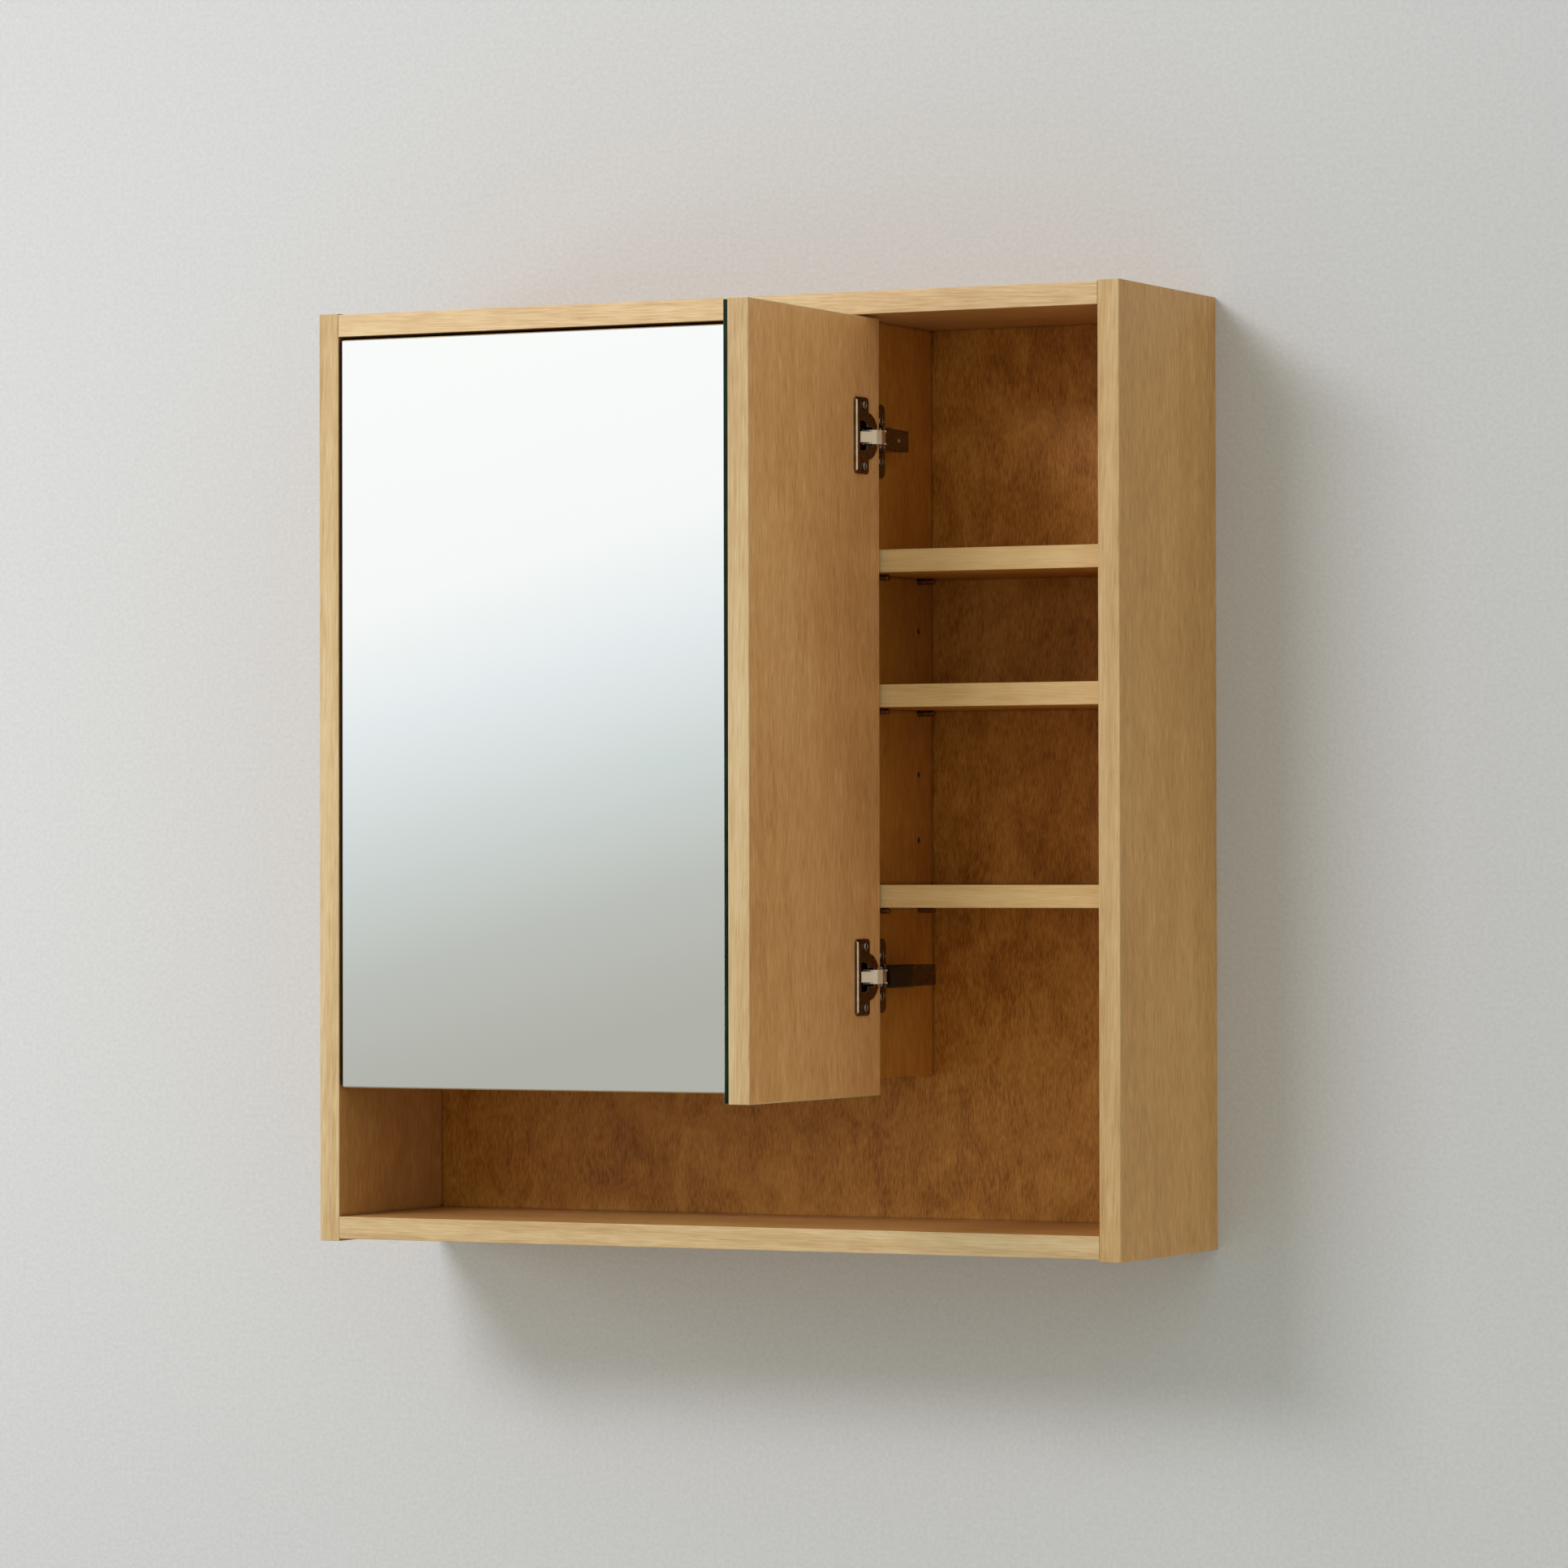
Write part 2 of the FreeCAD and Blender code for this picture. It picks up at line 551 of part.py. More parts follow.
def door_pivot(side):
    """The turning point that carries a door from closed to 90 degrees, and its angle."""
    face, packing, angle = HINGE_SIDES[side].values()
    return (f"({face} + {packing} + {POLE_X})", f"({PANEL_EDGE} + {POLE_Y})", f"(-{angle})")


def door(side):
    """A door's board, its lippings and its mirror; their origin is the closed door's hinge edge."""
    start, wide = DOOR_SPANS[side]
    place = (start, "0", "door_foot", door_pivot(side))
    core = new_body(f"{side}_door_panel")
    sketch = sketch_on(core, "XY_Plane", "band")
    rectangle(sketch, "band", "mirror", f"{wide} - 2 * band", "board")
    extrude(core, "Pad", sketch, f"{DOOR_HEIGHT} - 2 * band")
    cups = [("cup_inset", f"{level} - door_foot", "cup + 2 * fit") for level in HINGE_LEVELS.values()]
    drill(core, "XZ_Plane", f"-{DOOR_THICKNESS}", cups, "cup_depth + 2 * fit", True)
    screws = [("cup_screw_inset", f"{level} - door_foot {sign} cup_screw_spacing / 2", "cup_screw + 2 * fit")
              for level in HINGE_LEVELS.values() for sign in "+-"]
    drill(core, "XZ_Plane", f"-{DOOR_THICKNESS}", screws, "cup_screw_length + fit", True)
    stand(core, *place)

    bands = group(f"{side}_door_edge_bands", [
        block("0", "mirror", "0", "band", "board", DOOR_HEIGHT),
        block(f"{wide} - band", "mirror", "0", "band", "board", DOOR_HEIGHT),
        block("band", "mirror", "0", f"{wide} - 2 * band", "board", "band"),
        block("band", "mirror", f"{DOOR_HEIGHT} - band", f"{wide} - 2 * band", "board", "band"),
    ])
    stand(bands, *place)

    glass = new_body(f"{side}_mirror")
    sketch = sketch_on(glass, "XZ_Plane")
    rectangle(sketch, "mirror_margin", "mirror_margin", f"{wide} - 2 * mirror_margin",
              f"{DOOR_HEIGHT} - 2 * mirror_margin")
    pane = extrude(glass, "Pad", sketch, "mirror", True)
    arris = glass.newObject("PartDesign::Chamfer", f"{glass.Name}_arris")
    arris.Base = (pane, picked(pane, lambda box: box.YMax < number("mirror") / 2))
    arris.setExpression("Size", formula("mirror_arris"))
    stand(glass, *place)


# ------------------------------------------------------------------ hinges

POLE = Vector(number(POLE_X), number(POLE_Y), 0)
DOOR_CORNER = Vector(number("open_reach"), -number("open_advance"), 0)
UP = Vector(0, 0, 1)


def turned(point, centre, degrees):
    return centre + Rotation(UP, degrees).multVec(point - centre)


def link_pivots(name):
    """A link's cup pivot with the door open at 90 degrees, its arm pivot and its turn per degree of door.

    The arm pivot lies on the ray from the door's turning point that halves the cup pivot's travel, so the
    link carries the door exactly from closed to 90 degrees.
    """
    closed = Vector(number(f"{name}_pivot_x"), number(f"{name}_pivot_y"), 0)
    opened = turned(closed, POLE, -90)
    halfway = turned(closed, POLE, -45) - POLE
    arm = POLE + halfway.normalize() * number(f"{name}_reach")
    swing = math.degrees((opened - arm).getAngle(closed - arm))
    return opened, arm, swing / 90


INNER_CUP, INNER_ARM, INNER_RATIO = link_pivots("inner")
OUTER_CUP, OUTER_ARM, OUTER_RATIO = link_pivots("outer")


def rounded_path(points, radius):
    """A wire through the points with its corners rounded."""
    edges = []
    start = points[0]
    for before, corner, after in zip(points, points[1:], points[2:]):
        back = (before - corner).normalize()
        ahead = (after - corner).normalize()
        half = back.getAngle(ahead) / 2
        reach = radius / math.tan(half)
        middle = corner + (back + ahead).normalize() * (radius / math.sin(half) - radius)
        first = corner + back * reach
        last = corner + ahead * reach
        edges.append(Part.LineSegment(start, first).toShape())
        edges.append(Part.Arc(first, middle, last).toShape())
        start = last
    edges.append(Part.LineSegment(start, points[-1]).toShape())
    return Part.Wire(edges)


def strip(path, thickness, low, high):
    """A bent strip of sheet along a path, from height low to height high."""
    outline_wire = path.makeOffset2D(thickness / 2, 0, False, False)
    strip_face = Part.Face(outline_wire)
    return lifted(strip_face, low, high)


def lifted(face, low, high):
    solid = face.extrude(Vector(0, 0, high - low))
    solid.translate(Vector(0, 0, low))
    return solid


def disc(centre, radius, low, high):
    return Part.makeCylinder(radius, high - low, centre + Vector(0, 0, low), UP)


def bar(start, end, radius, low, high):
    """A flat bar with round ends."""
    along = (end - start).normalize() * radius
    aside = Vector(-along.y, along.x, 0)
    edges = [Part.LineSegment(start + aside, end + aside),
             Part.Arc(end + aside, end + along, end - aside),
             Part.LineSegment(end - aside, start - aside),
             Part.Arc(start - aside, start - along, start + aside)]
    return lifted(Part.Face(Part.Wire([edge.toShape() for edge in edges])), low, high)


def both_sides(shape):
    """A shape and its mirror image below the hinge's middle plane."""
    return [shape, shape.mirror(Vector(0, 0, 0), UP)]


def fused(shapes):
    return shapes[0].multiFuse(shapes[1:]).removeSplitter()


def inner_link_shape():
    """The long link: a strip bent round the door's edge, with an eye at each end."""
    half = number("inner_half_width")
    neck = [DOOR_CORNER + Vector(*offset) for offset in
            ((-4.6, 11.4), (-2.4, 6.8), (2.9, 2), (3.3, -1.2), (2.9, -4.4), (-0.4, -7.8))]
    path = rounded_path([INNER_ARM, *neck, INNER_CUP], BEND)
    eye = number("eye_radius")
    ends = [disc(pivot, eye, -half, half) for pivot in (INNER_ARM, INNER_CUP)]
    bore = number("pivot_pin / 2 + fit")
    link = fused([strip(path, number("inner_sheet"), -half, half), *ends])
    for pivot in (INNER_ARM, INNER_CUP):
        link = link.cut(disc(pivot, bore, -half, half))
    return link


def outer_link_shape():
    """The strap: a bent plate with two lugs at each end and a narrow tongue that ends in the cup."""
    half = number("outer_half_width")
    lug = half - number("outer_sheet")
    sheet = number("outer_sheet")
    rounding = number("outer_lug")
    web = [DOOR_CORNER + Vector(*offset) for offset in
           ((5.1, -0.4), (5.4, -3), (5.1, -6.4), (2.6, -10.6), (-1.6, -13.4))]
    tip = DOOR_CORNER + Vector(-7, -19.2)
    tongue_half = number("tongue_half_width")
    shapes = [
        strip(rounded_path(web, BEND), sheet, -half, half),
        strip(rounded_path([web[-2], web[-1], tip], BEND), sheet, -tongue_half, tongue_half),
        *both_sides(bar(OUTER_ARM, web[0], rounding, lug, half)),
        *both_sides(disc(OUTER_ARM, number("eye_radius"), lug, half)),
        *both_sides(bar(web[-1], OUTER_CUP, rounding, lug, half)),
        *both_sides(disc(OUTER_CUP, number("pivot_pin / 2"), lug, half + number("outer_stub"))),
    ]
    strap = fused(shapes)
    bore = disc(OUTER_ARM, number("pivot_pin / 2 + fit"), -half, half)
    return strap.cut(bore)


def ears_shape():
    """The arm's two front ears, which hold both arm pivots."""
    near = number("yoke_half_gap")
    far = near + number("arm_sheet")
    radius = number("ear_radius")
    under = number("arm_height") - number("arm_sheet") / 2
    front = number("arm_front")
    root = Part.Face(Part.makePolygon([
        Vector(under, front, 0), Vector(under, front + number("ear_root"), 0),
        INNER_ARM + Vector(0, radius, 0), INNER_ARM + Vector(-radius, 0, 0),
        OUTER_ARM + Vector(-radius, 0, 0), OUTER_ARM, Vector(under, front, 0)]))
    ear = fused([lifted(root, near, far), bar(OUTER_ARM, INNER_ARM, radius, near, far)])
    bore = number("pivot_pin / 2 + fit")
    for pivot in (INNER_ARM, OUTER_ARM):
        ear = ear.cut(disc(pivot, bore, near, far))
    return Part.makeCompound(both_sides(ear))


def feature(name, shape):
    piece = doc.addObject("Part::Feature", name)
    piece.Shape = shape
    return piece


def hinge_place(side, level):
    """Where a hinge's own frame stands in the cabinet's measure."""
    return f"{HINGE_SIDES[side]['face']} + {HINGE_SIDES[side]['packing']}", PANEL_EDGE, level


def link_place(side, level, pivot, ratio):
    """A link's place: it is drawn with the door at 90 degrees and turns back as the door closes."""
    x, y, z = hinge_place(side, level)
    angle = HINGE_SIDES[side]["angle"]
    turn = (f"({x} + {pivot.x:.6f})", f"({y} + ({pivot.y:.6f}))", f"({ratio:.6f} * ({angle} - 90))")
    return x, y, z, turn


def arm(label, side, level, length):
    """The pressed channel with its two front ears."""
    body = doc.addObject("PartDesign::Body", f"{label}_channel")
    rear = f"arm_front + {length}"
    channel = sketch_on(body, "YZ_Plane", "arm_height - arm_cheek")
    outline(channel, [("arm_front", "-arm_width / 2"), (rear, "-arm_rear_width / 2"),
                      (rear, "arm_rear_width / 2"), ("arm_front", "arm_width / 2")])
    pad = extrude(body, "Pad", channel, "arm_cheek")
    face = number("arm_height")
    round_off(body, pad, lambda box: (box.YMax > number("arm_front") + 1 and box.XMax > face - NEAR
                                      and (box.XMin > face - NEAR or box.YLength < NEAR)), "arm_corner")
    hollow = sketch_on(body, "YZ_Plane", "arm_height - arm_cheek")
    wide = "arm_width / 2 - arm_sheet"
    narrow = "arm_rear_width / 2 - arm_sheet"
    outline(hollow, [("arm_front - arm_sheet", f"-({wide})"), (f"{rear} - arm_sheet", f"-({narrow})"),
                     (f"{rear} - arm_sheet", narrow), ("arm_front - arm_sheet", wide)])
    extrude(body, "Pocket", hollow, "arm_cheek - arm_sheet", True)
    step = sketch_on(body, "YZ_Plane", "arm_height")
    rectangle(step, f"{rear} - arm_step_length", "-arm_width / 2", "arm_step_length", "arm_width")
    extrude(body, "Pocket", step, "arm_step")
    drill(body, "YZ_Plane", "arm_height", [("arm_screw_line", "0", "arm_screw + 2 * fit")], "arm_sheet")
    yoke = node(join([body, feature(f"{label}_ears", ears_shape())]), label)
    stand(yoke, *hinge_place(side, level))


def mounting_plate(label, side, level):
    """The plate under the arm: two screwed wings and a block that the arm is fixed to."""
    face, packing = HINGE_SIDES[side]["face"], HINGE_SIDES[side]["packing"]
    body = new_body(label)
    wings = sketch_on(body, "YZ_Plane")
    rectangle(wings, "plate_line - plate_wing / 2", "-plate_wing_length / 2", "plate_wing", "plate_wing_length")
    pad = extrude(body, "Pad", wings, f"plate_wing_height + {packing}")
    wing = number("plate_wing_height")
    round_off(body, pad, lambda box: box.XLength > wing / 2, "plate_wing_corner")
    notches = sketch_on(body, "YZ_Plane")
    for edge in ("plate_line - plate_wing / 2", "plate_line + plate_wing / 2 - wing_notch_depth"):
        for sign in "+-":
            rectangle(notches, edge, f"0 {sign} plate_screw_spacing / 2 - wing_notch / 2", "wing_notch_depth",
                      "wing_notch")
    notched = extrude(body, "Pocket", notches, f"plate_wing_height + {packing}", True)
    middle, half = number("plate_line"), number("plate_wing / 2")
    tips = number("plate_screw_spacing / 2 + wing_notch")
    round_off(body, notched, lambda box: (box.XLength > wing / 2 and box.ZLength < NEAR
                                          and abs(abs(box.YMin - middle) - half) < NEAR
                                          and abs(box.ZMin) < tips), "wing_notch / 2")
    tower = sketch_on(body, "YZ_Plane")
    wide = "arm_rear_width - 2 * (arm_sheet + arm_play)"
    rear = "arm_front + arm_length - arm_sheet - arm_play"
    rectangle(tower, "plate_block_front", f"-({wide}) / 2", f"{rear} - plate_block_front", wide)
    extrude(body, "Pad", tower, f"arm_height - arm_sheet - arm_play + {packing}")
    screws = [("plate_line", f"{sign} plate_screw_spacing / 2", "plate_screw + 2 * fit") for sign in ("", "-")]
    drill(body, "YZ_Plane", "0", screws, f"plate_wing_height + {packing}", True)
    top = f"arm_height - arm_sheet - arm_play + {packing}"
    drill(body, "YZ_Plane", top, [("arm_screw_line", "0", "arm_screw + 2 * fit")], "arm_screw_length")
    stand(body, face, PANEL_EDGE, level)


def cup(label, side, level):
    """The cup, its flange and its two ears; its origin is the middle of the cup on the door's back."""
    body = new_body(label)
    radius = "(cup / 2 - cup_play)"
    shell = sketch_on(body, "XY_Plane")
    outline(shell, [("0", "-cup_depth"), (radius, "-cup_depth"), (radius, "0"), (f"{radius} - cup_wall", "0"),
                    (f"{radius} - cup_wall", "cup_wall - cup_depth"), ("0", "cup_wall - cup_depth")])
    turn = body.newObject("PartDesign::Revolution", f"{label}_shell")
    turn.Profile = shell
    turn.ReferenceAxis = (shell, ["V_Axis"])
    turn.Angle = 360

    strip_sketch = sketch_on(body, "XZ_Plane")
    rectangle(strip_sketch, "flange_near - cup_inset", "-flange_length / 2", "flange_far - flange_near",
              "flange_length")
    plate = extrude(body, "Pad", strip_sketch, "flange", True)
    half = number("flange_length / 2")
    round_off(body, plate, lambda box: (abs(box.ZMin) > half - NEAR and box.ZLength < NEAR
                                        and box.XLength < NEAR), "flange_corner")

    rim = sketch_on(body, "XZ_Plane")
    circle(rim, "0", "0", "rim")
    extrude(body, "Pad", rim, "flange", True)
    roll_sketch = sketch_on(body, "XZ_Plane")
    rectangle(roll_sketch, "flange_far - cup_inset - flange_roll", "flange_roll_end - flange_length / 2",
              "flange_roll", "flange_length - 2 * flange_roll_end")
    roll = extrude(body, "Pad", roll_sketch, "flange_roll", True)
    half = number("flange_length / 2 - flange_roll_end")
    height, above = number("flange_roll"), number("flange_roll - flange") - NEAR
    ends = round_off(body, roll, lambda box: (abs(abs(box.ZMin) - half) < NEAR and box.YLength > above
                                              and box.XLength < NEAR), "flange_roll_corner")
    round_off(body, ends, lambda box: box.YLength < NEAR and abs(abs(box.YMin) - height) < NEAR,
              "flange_roll_corner")

    mouth = sketch_on(body, "XZ_Plane", "-flange")
    ear = "(yoke_half_gap + arm_sheet)"
    outside = "-rim"
    near = "mouth_near - cup_inset"
    outline(mouth, [(outside, f"-{ear}"), (near, f"-{ear}"), (near, "-mouth_length / 2"),
                    ("mouth_far - cup_inset", "-mouth_length / 2"),
                    ("mouth_far - cup_inset", "mouth_length / 2"),
                    (near, "mouth_length / 2"), (near, ear), (outside, ear)])
    opening = extrude(body, "Pocket", mouth, "flange", True)
    edge, half = number(near), number("mouth_length / 2")
    round_off(body, opening, lambda box: (abs(box.XMin - edge) < NEAR and box.XLength < NEAR
                                          and box.ZLength < NEAR and abs(abs(box.ZMin) - half) < NEAR),
              "mouth_corner")

    pivot_x = "(overlay + inner_pivot_x - cup_inset)"
    pivot_y = "(rest_gap + inner_pivot_y)"
    for start in ("yoke_half_gap", f"-{ear}"):
        ears = sketch_on(body, "XY_Plane", start)
        rectangle(ears, f"{pivot_x} - cup_ear_width / 2", "-cup_ear_depth", "cup_ear_width",
                  "cup_ear_depth + flange")
        extrude(body, "Pad", ears, "arm_sheet")
    drill(body, "XY_Plane", ear, [(pivot_x, pivot_y, "pivot_pin + 2 * fit")], f"2 * {ear}")
    screws = [("cup_screw_inset - cup_inset", f"{sign} cup_screw_spacing / 2", "cup_screw + 2 * fit")
              for sign in ("", "-")]
    drill(body, "XZ_Plane", "-flange", screws, "flange", True)
    start = DOOR_SPANS[side][0]
    stand(body, f"{start} + cup_inset", DOOR_THICKNESS, level, door_pivot(side))


def screw(x, y, z, axis, diameter, length, head, under):
    """A screw whose head's underside is at x, y, z and whose shank runs along axis."""
    shank = rod(x, y, z, diameter, length, axis)
    cap = rod(x, y, z, head, under, axis * -1)
    return join([shank, cap])


def door_fasteners(side):
    """The cup screws and the cup pivot pins of one door; their origin is the door's hinge edge."""
    start = DOOR_SPANS[side][0]
    turn = door_pivot(side)
    screws = [screw("cup_screw_inset", f"{DOOR_THICKNESS} + flange", f"{level} {sign} cup_screw_spacing / 2",
                    Vector(0, -1, 0), "cup_screw", "cup_screw_length + flange", "cup_screw_head",
                    "screw_head_height")
              for level in HINGE_LEVELS.values() for sign in "+-"]
    stand(group(f"{side}_cup_screws", screws), start, "0", "0", turn)
    half = "(yoke_half_gap + arm_sheet)"
    pins = [rod("overlay + inner_pivot_x", f"{PANEL_EDGE} + inner_pivot_y", f"{level} - {half}", "pivot_pin",
                f"2 * {half}", UP) for level in HINGE_LEVELS.values()]
    stand(group(f"{side}_cup_pins", pins), start, "0", "0", turn)


def arm_pins():
    """The long pins of the inner links and the two rivets of each outer link, fixed in the arms' ears."""
    pins = []
    ear = "(yoke_half_gap + arm_sheet + pin_head)"
    lug = "(outer_half_width - outer_sheet)"
    for side in HINGE_SIDES:
        for level in HINGE_LEVELS.values():
            x, y, z = hinge_place(side, level)
            inner = (f"{x} + {INNER_ARM.x:.6f}", f"{y} + {INNER_ARM.y:.6f}")
            outer = (f"{x} + {OUTER_ARM.x:.6f}", f"{y} + {OUTER_ARM.y:.6f}")
            pins.append(rod(*inner, f"{z} - {ear}", "pivot_pin", f"2 * {ear}", UP))
            pins.append(rod(*outer, f"{z} + {lug}", "pivot_pin", f"{ear} - {lug}", UP))
            pins.append(rod(*outer, f"{z} - {lug}", "pivot_pin", f"{ear} - {lug}", Vector(0, 0, -1)))
    stand(group("hinge_arm_pins", pins), "0", "0", "0")


def plate_screws():
    """Each mounting plate's two screws and the set screw that fixes its arm."""
    screws = []
    for side, place in HINGE_SIDES.items():
        face, packing = place["face"], place["packing"]
        for level in HINGE_LEVELS.values():
            for sign in "+-":
                screws.append(screw(f"{face} + plate_wing_height + {packing}", f"{PANEL_EDGE} + plate_line",
                                    f"{level} {sign} plate_screw_spacing / 2", Vector(-1, 0, 0), "plate_screw",
                                    f"plate_wing_height + {packing} + plate_screw_length", "plate_screw_head",
                                    "screw_head_height"))
            screws.append(rod(f"{face} + {packing} + arm_height", f"{PANEL_EDGE} + arm_screw_line", level,
                              "arm_screw", "arm_screw_length", Vector(-1, 0, 0)))
    stand(group("hinge_plate_screws", screws), "0", "0", "0")


def damper_shape():
    """The soft-close damper: a block with a bevelled nose, a bulging face and rounded edges."""
    front, rear = number("arm_front"), number("arm_front + damper_length")
    foot, top = number("arm_height"), number("arm_height + damper_height")
    shoulder = number("arm_height + damper_height - damper_bulge")
    half = number("damper_width / 2")
    corners = [Vector(foot, front, 0), Vector(shoulder, front, 0), Vector(shoulder, rear, 0), Vector(foot, rear, 0)]
    sides = [Part.LineSegment(corners[index - 1], corners[index]).toShape() for index in (3, 0, 1)]
    face = Part.Arc(corners[1], Vector(top, (front + rear) / 2, 0), corners[2]).toShape()
    block = lifted(Part.Face(Part.Wire([*sides, face])), -half, half)
    nose = [edge for edge in block.Edges if edge.BoundBox.YMax < front + NEAR and edge.BoundBox.XLength > NEAR]
    block = block.makeChamfer(number("damper_nose"), nose)
    upper = [edge for edge in block.Edges if edge.BoundBox.XMin > foot + NEAR
             and (edge.BoundBox.YMin > rear - NEAR or edge.BoundBox.YMax > rear - NEAR)]
    return block.makeFillet(number("damper_corner"), upper)


def hinge(side, name):
    """One hinge: cup, two links, arm and mounting plate."""
    label = f"{side}_{name}"
    level = HINGE_LEVELS[name]
    cup(f"{label}_hinge_cup", side, level)
    inner = node(feature(f"{label}_inner_link", inner_link_shape()), f"{label}_inner_link")
    stand(inner, *link_place(side, level, INNER_ARM, INNER_RATIO))
    outer = node(feature(f"{label}_outer_link", outer_link_shape()), f"{label}_outer_link")
    stand(outer, *link_place(side, level, OUTER_ARM, OUTER_RATIO))
    arm(f"{label}_hinge_arm", side, level, "arm_length" if name == "upper" else "long_arm_length")
    mounting_plate(f"{label}_mounting_plate", side, level)
    if name == "lower":
        damper = node(feature(f"{side}_damper", damper_shape()), f"{side}_soft_close_damper")
        stand(damper, *hinge_place(side, level))


def build():
    carcass()
    carcass_bands()
    carcass_dowels()
    shelves()
    shelf_pins()
    rails()
    door_bumpers()
    for side in HINGE_SIDES:
        door(side)
        door_fasteners(side)
        for name in HINGE_LEVELS:
            hinge(side, name)
    arm_pins()
    plate_screws()
    doc.recompute()


def check():
    """Stop if anything failed to build or a cut removed nothing."""
    for piece in doc.Objects:
        if {"Invalid", "Error"} & set(piece.State):
            raise RuntimeError(f"{piece.Label} is {piece.State}")
        if piece.TypeId == "PartDesign::Pocket" and piece.Shape.Volume > piece.BaseFeature.Shape.Volume - 1e-6:
            raise RuntimeError(f"{piece.Label} cuts nothing")
    for piece in NODES:
        if piece.Shape.isNull() or not piece.Shape.isValid():
            raise RuntimeError(f"{piece.Label} has no valid shape")


def export():
    os.makedirs("parts", exist_ok=True)
    for piece in NODES:
        piece.Shape.exportStep(f"parts/{piece.Label}.step")
        box = piece.Shape.BoundBox
        print(f"{piece.Label}: {len(piece.Shape.Solids)} solids, {piece.Shape.Volume:.0f} mm3, "
              f"{box.XLength:.1f} x {box.YLength:.1f} x {box.ZLength:.1f}")


build()
check()
export()
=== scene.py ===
# %% [markdown]
# # A mirror cabinet for a bathroom wall
#
# The cabinet is made of veneered boards with pale wood lippings. It has two mirrored doors on concealed
# hinges, and the narrow right door stands open. The imported model gives every shape and place. This lesson
# dresses it in wood, mirror glass, nickel and plastic, and models again what the imported model keeps plain:
# lippings, mirrors, screws and the tongues of the hinges. The cups' beads get a painted highlight.

# %% Load the frame
import math

import bpy
from mathutils import Matrix, Vector


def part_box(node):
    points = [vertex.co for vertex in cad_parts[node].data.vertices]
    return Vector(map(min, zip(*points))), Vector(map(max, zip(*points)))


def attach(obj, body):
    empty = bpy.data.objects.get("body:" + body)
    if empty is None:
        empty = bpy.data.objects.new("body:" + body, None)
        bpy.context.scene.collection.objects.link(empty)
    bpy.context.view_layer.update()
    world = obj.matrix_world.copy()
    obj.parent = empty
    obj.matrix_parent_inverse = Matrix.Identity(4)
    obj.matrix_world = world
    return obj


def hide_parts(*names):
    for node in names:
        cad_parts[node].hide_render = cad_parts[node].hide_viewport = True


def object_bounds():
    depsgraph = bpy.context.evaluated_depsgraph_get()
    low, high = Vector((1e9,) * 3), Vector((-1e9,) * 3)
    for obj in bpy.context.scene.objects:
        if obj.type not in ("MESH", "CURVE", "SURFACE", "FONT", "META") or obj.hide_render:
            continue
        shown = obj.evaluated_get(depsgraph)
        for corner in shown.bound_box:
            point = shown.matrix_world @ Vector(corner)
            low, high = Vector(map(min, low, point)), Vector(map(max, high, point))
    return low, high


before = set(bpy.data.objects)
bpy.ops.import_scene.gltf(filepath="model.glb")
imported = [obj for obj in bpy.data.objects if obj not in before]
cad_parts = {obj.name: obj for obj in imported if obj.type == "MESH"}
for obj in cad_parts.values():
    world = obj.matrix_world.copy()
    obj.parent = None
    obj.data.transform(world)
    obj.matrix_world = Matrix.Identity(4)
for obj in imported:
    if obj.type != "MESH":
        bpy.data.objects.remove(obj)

MM = 0.001
cad_low, cad_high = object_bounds()
print("cabinet in mm:", [round((high - low) / MM) for low, high in zip(cad_low, cad_high)])

# %% [markdown]
# ## Colours and nodes
#
# A maker writes colours as sRGB hex values, and Blender's shaders work with linear light, so one function
# turns the one into the other. A material is a tree of nodes, and could be built in the shader editor.
# Written down it can be made again for every board, so one helper adds any kind of node: it sets the node's
# properties, fills its sockets and links those that take another node's output.

# %% Helpers for materials


def linear(hex_colour):
    """An sRGB hex colour as linear RGBA."""
    channels = [int(hex_colour[index:index + 2], 16) / 255 for index in (0, 2, 4)]
    return [c / 12.92 if c <= 0.04045 else ((c + 0.055) / 1.055) ** 2.4 for c in channels] + [1]


def add(tree, kind, inputs=None, **settings):
    """Add a node; inputs maps a socket's name or number to a value, or to a (node, output) pair."""
    node = tree.nodes.new(f"ShaderNode{kind}")
    for name, value in settings.items():
        setattr(node, name, value)
    for socket, value in (inputs or {}).items():
        if isinstance(value, tuple) and isinstance(value[0], bpy.types.Node):
            tree.links.new(value[0].outputs[value[1]], node.inputs[socket])
        else:
            node.inputs[socket].default_value = value
    return node


def new_material(name):
    """A material with an empty node tree, and that tree."""
    material = bpy.data.materials.new(name)
    material.use_nodes = True
    material.node_tree.nodes.clear()
    return material, material.node_tree


def finish_material(tree, surface):
    """Link the finished shader to the material's output."""
    add(tree, "OutputMaterial", {"Surface": (surface, 0)})


def set_ramp(ramp, stops):
    """Give a colour ramp its stops: (position, hex colour)."""
    elements = ramp.color_ramp.elements
    while len(elements) < len(stops):
        elements.new(0.5)
    for element, (position, colour) in zip(elements, stops):
        element.position = position
        element.color = linear(colour)


print("linear of mid grey:", [round(value, 3) for value in linear("808080")])

# %% [markdown]
# ## Veneer
#
# The boards are covered with sliced birch, stained to a golden tan and sprayed with thin satin lacquer.
# Birch is a quiet wood: fine straight fibres, bands where the tone drifts by a few per cent, a cloudy
# figure that shows where light is low, and growth rings that can hardly be seen. A leaf could be painted
# flat and laid on each board, but a pattern in the wood itself has no seams and runs on round the edges. It
# is built round a long thin log: a Mapping node places the log's axis beside the board and tilts it by
# about a degree, so the rings that the board cuts become the long arches of real veneer. Each pattern gets
# its share of the tone, and a ramp turns tone into colour.

# %% Sizes of the wood's patterns

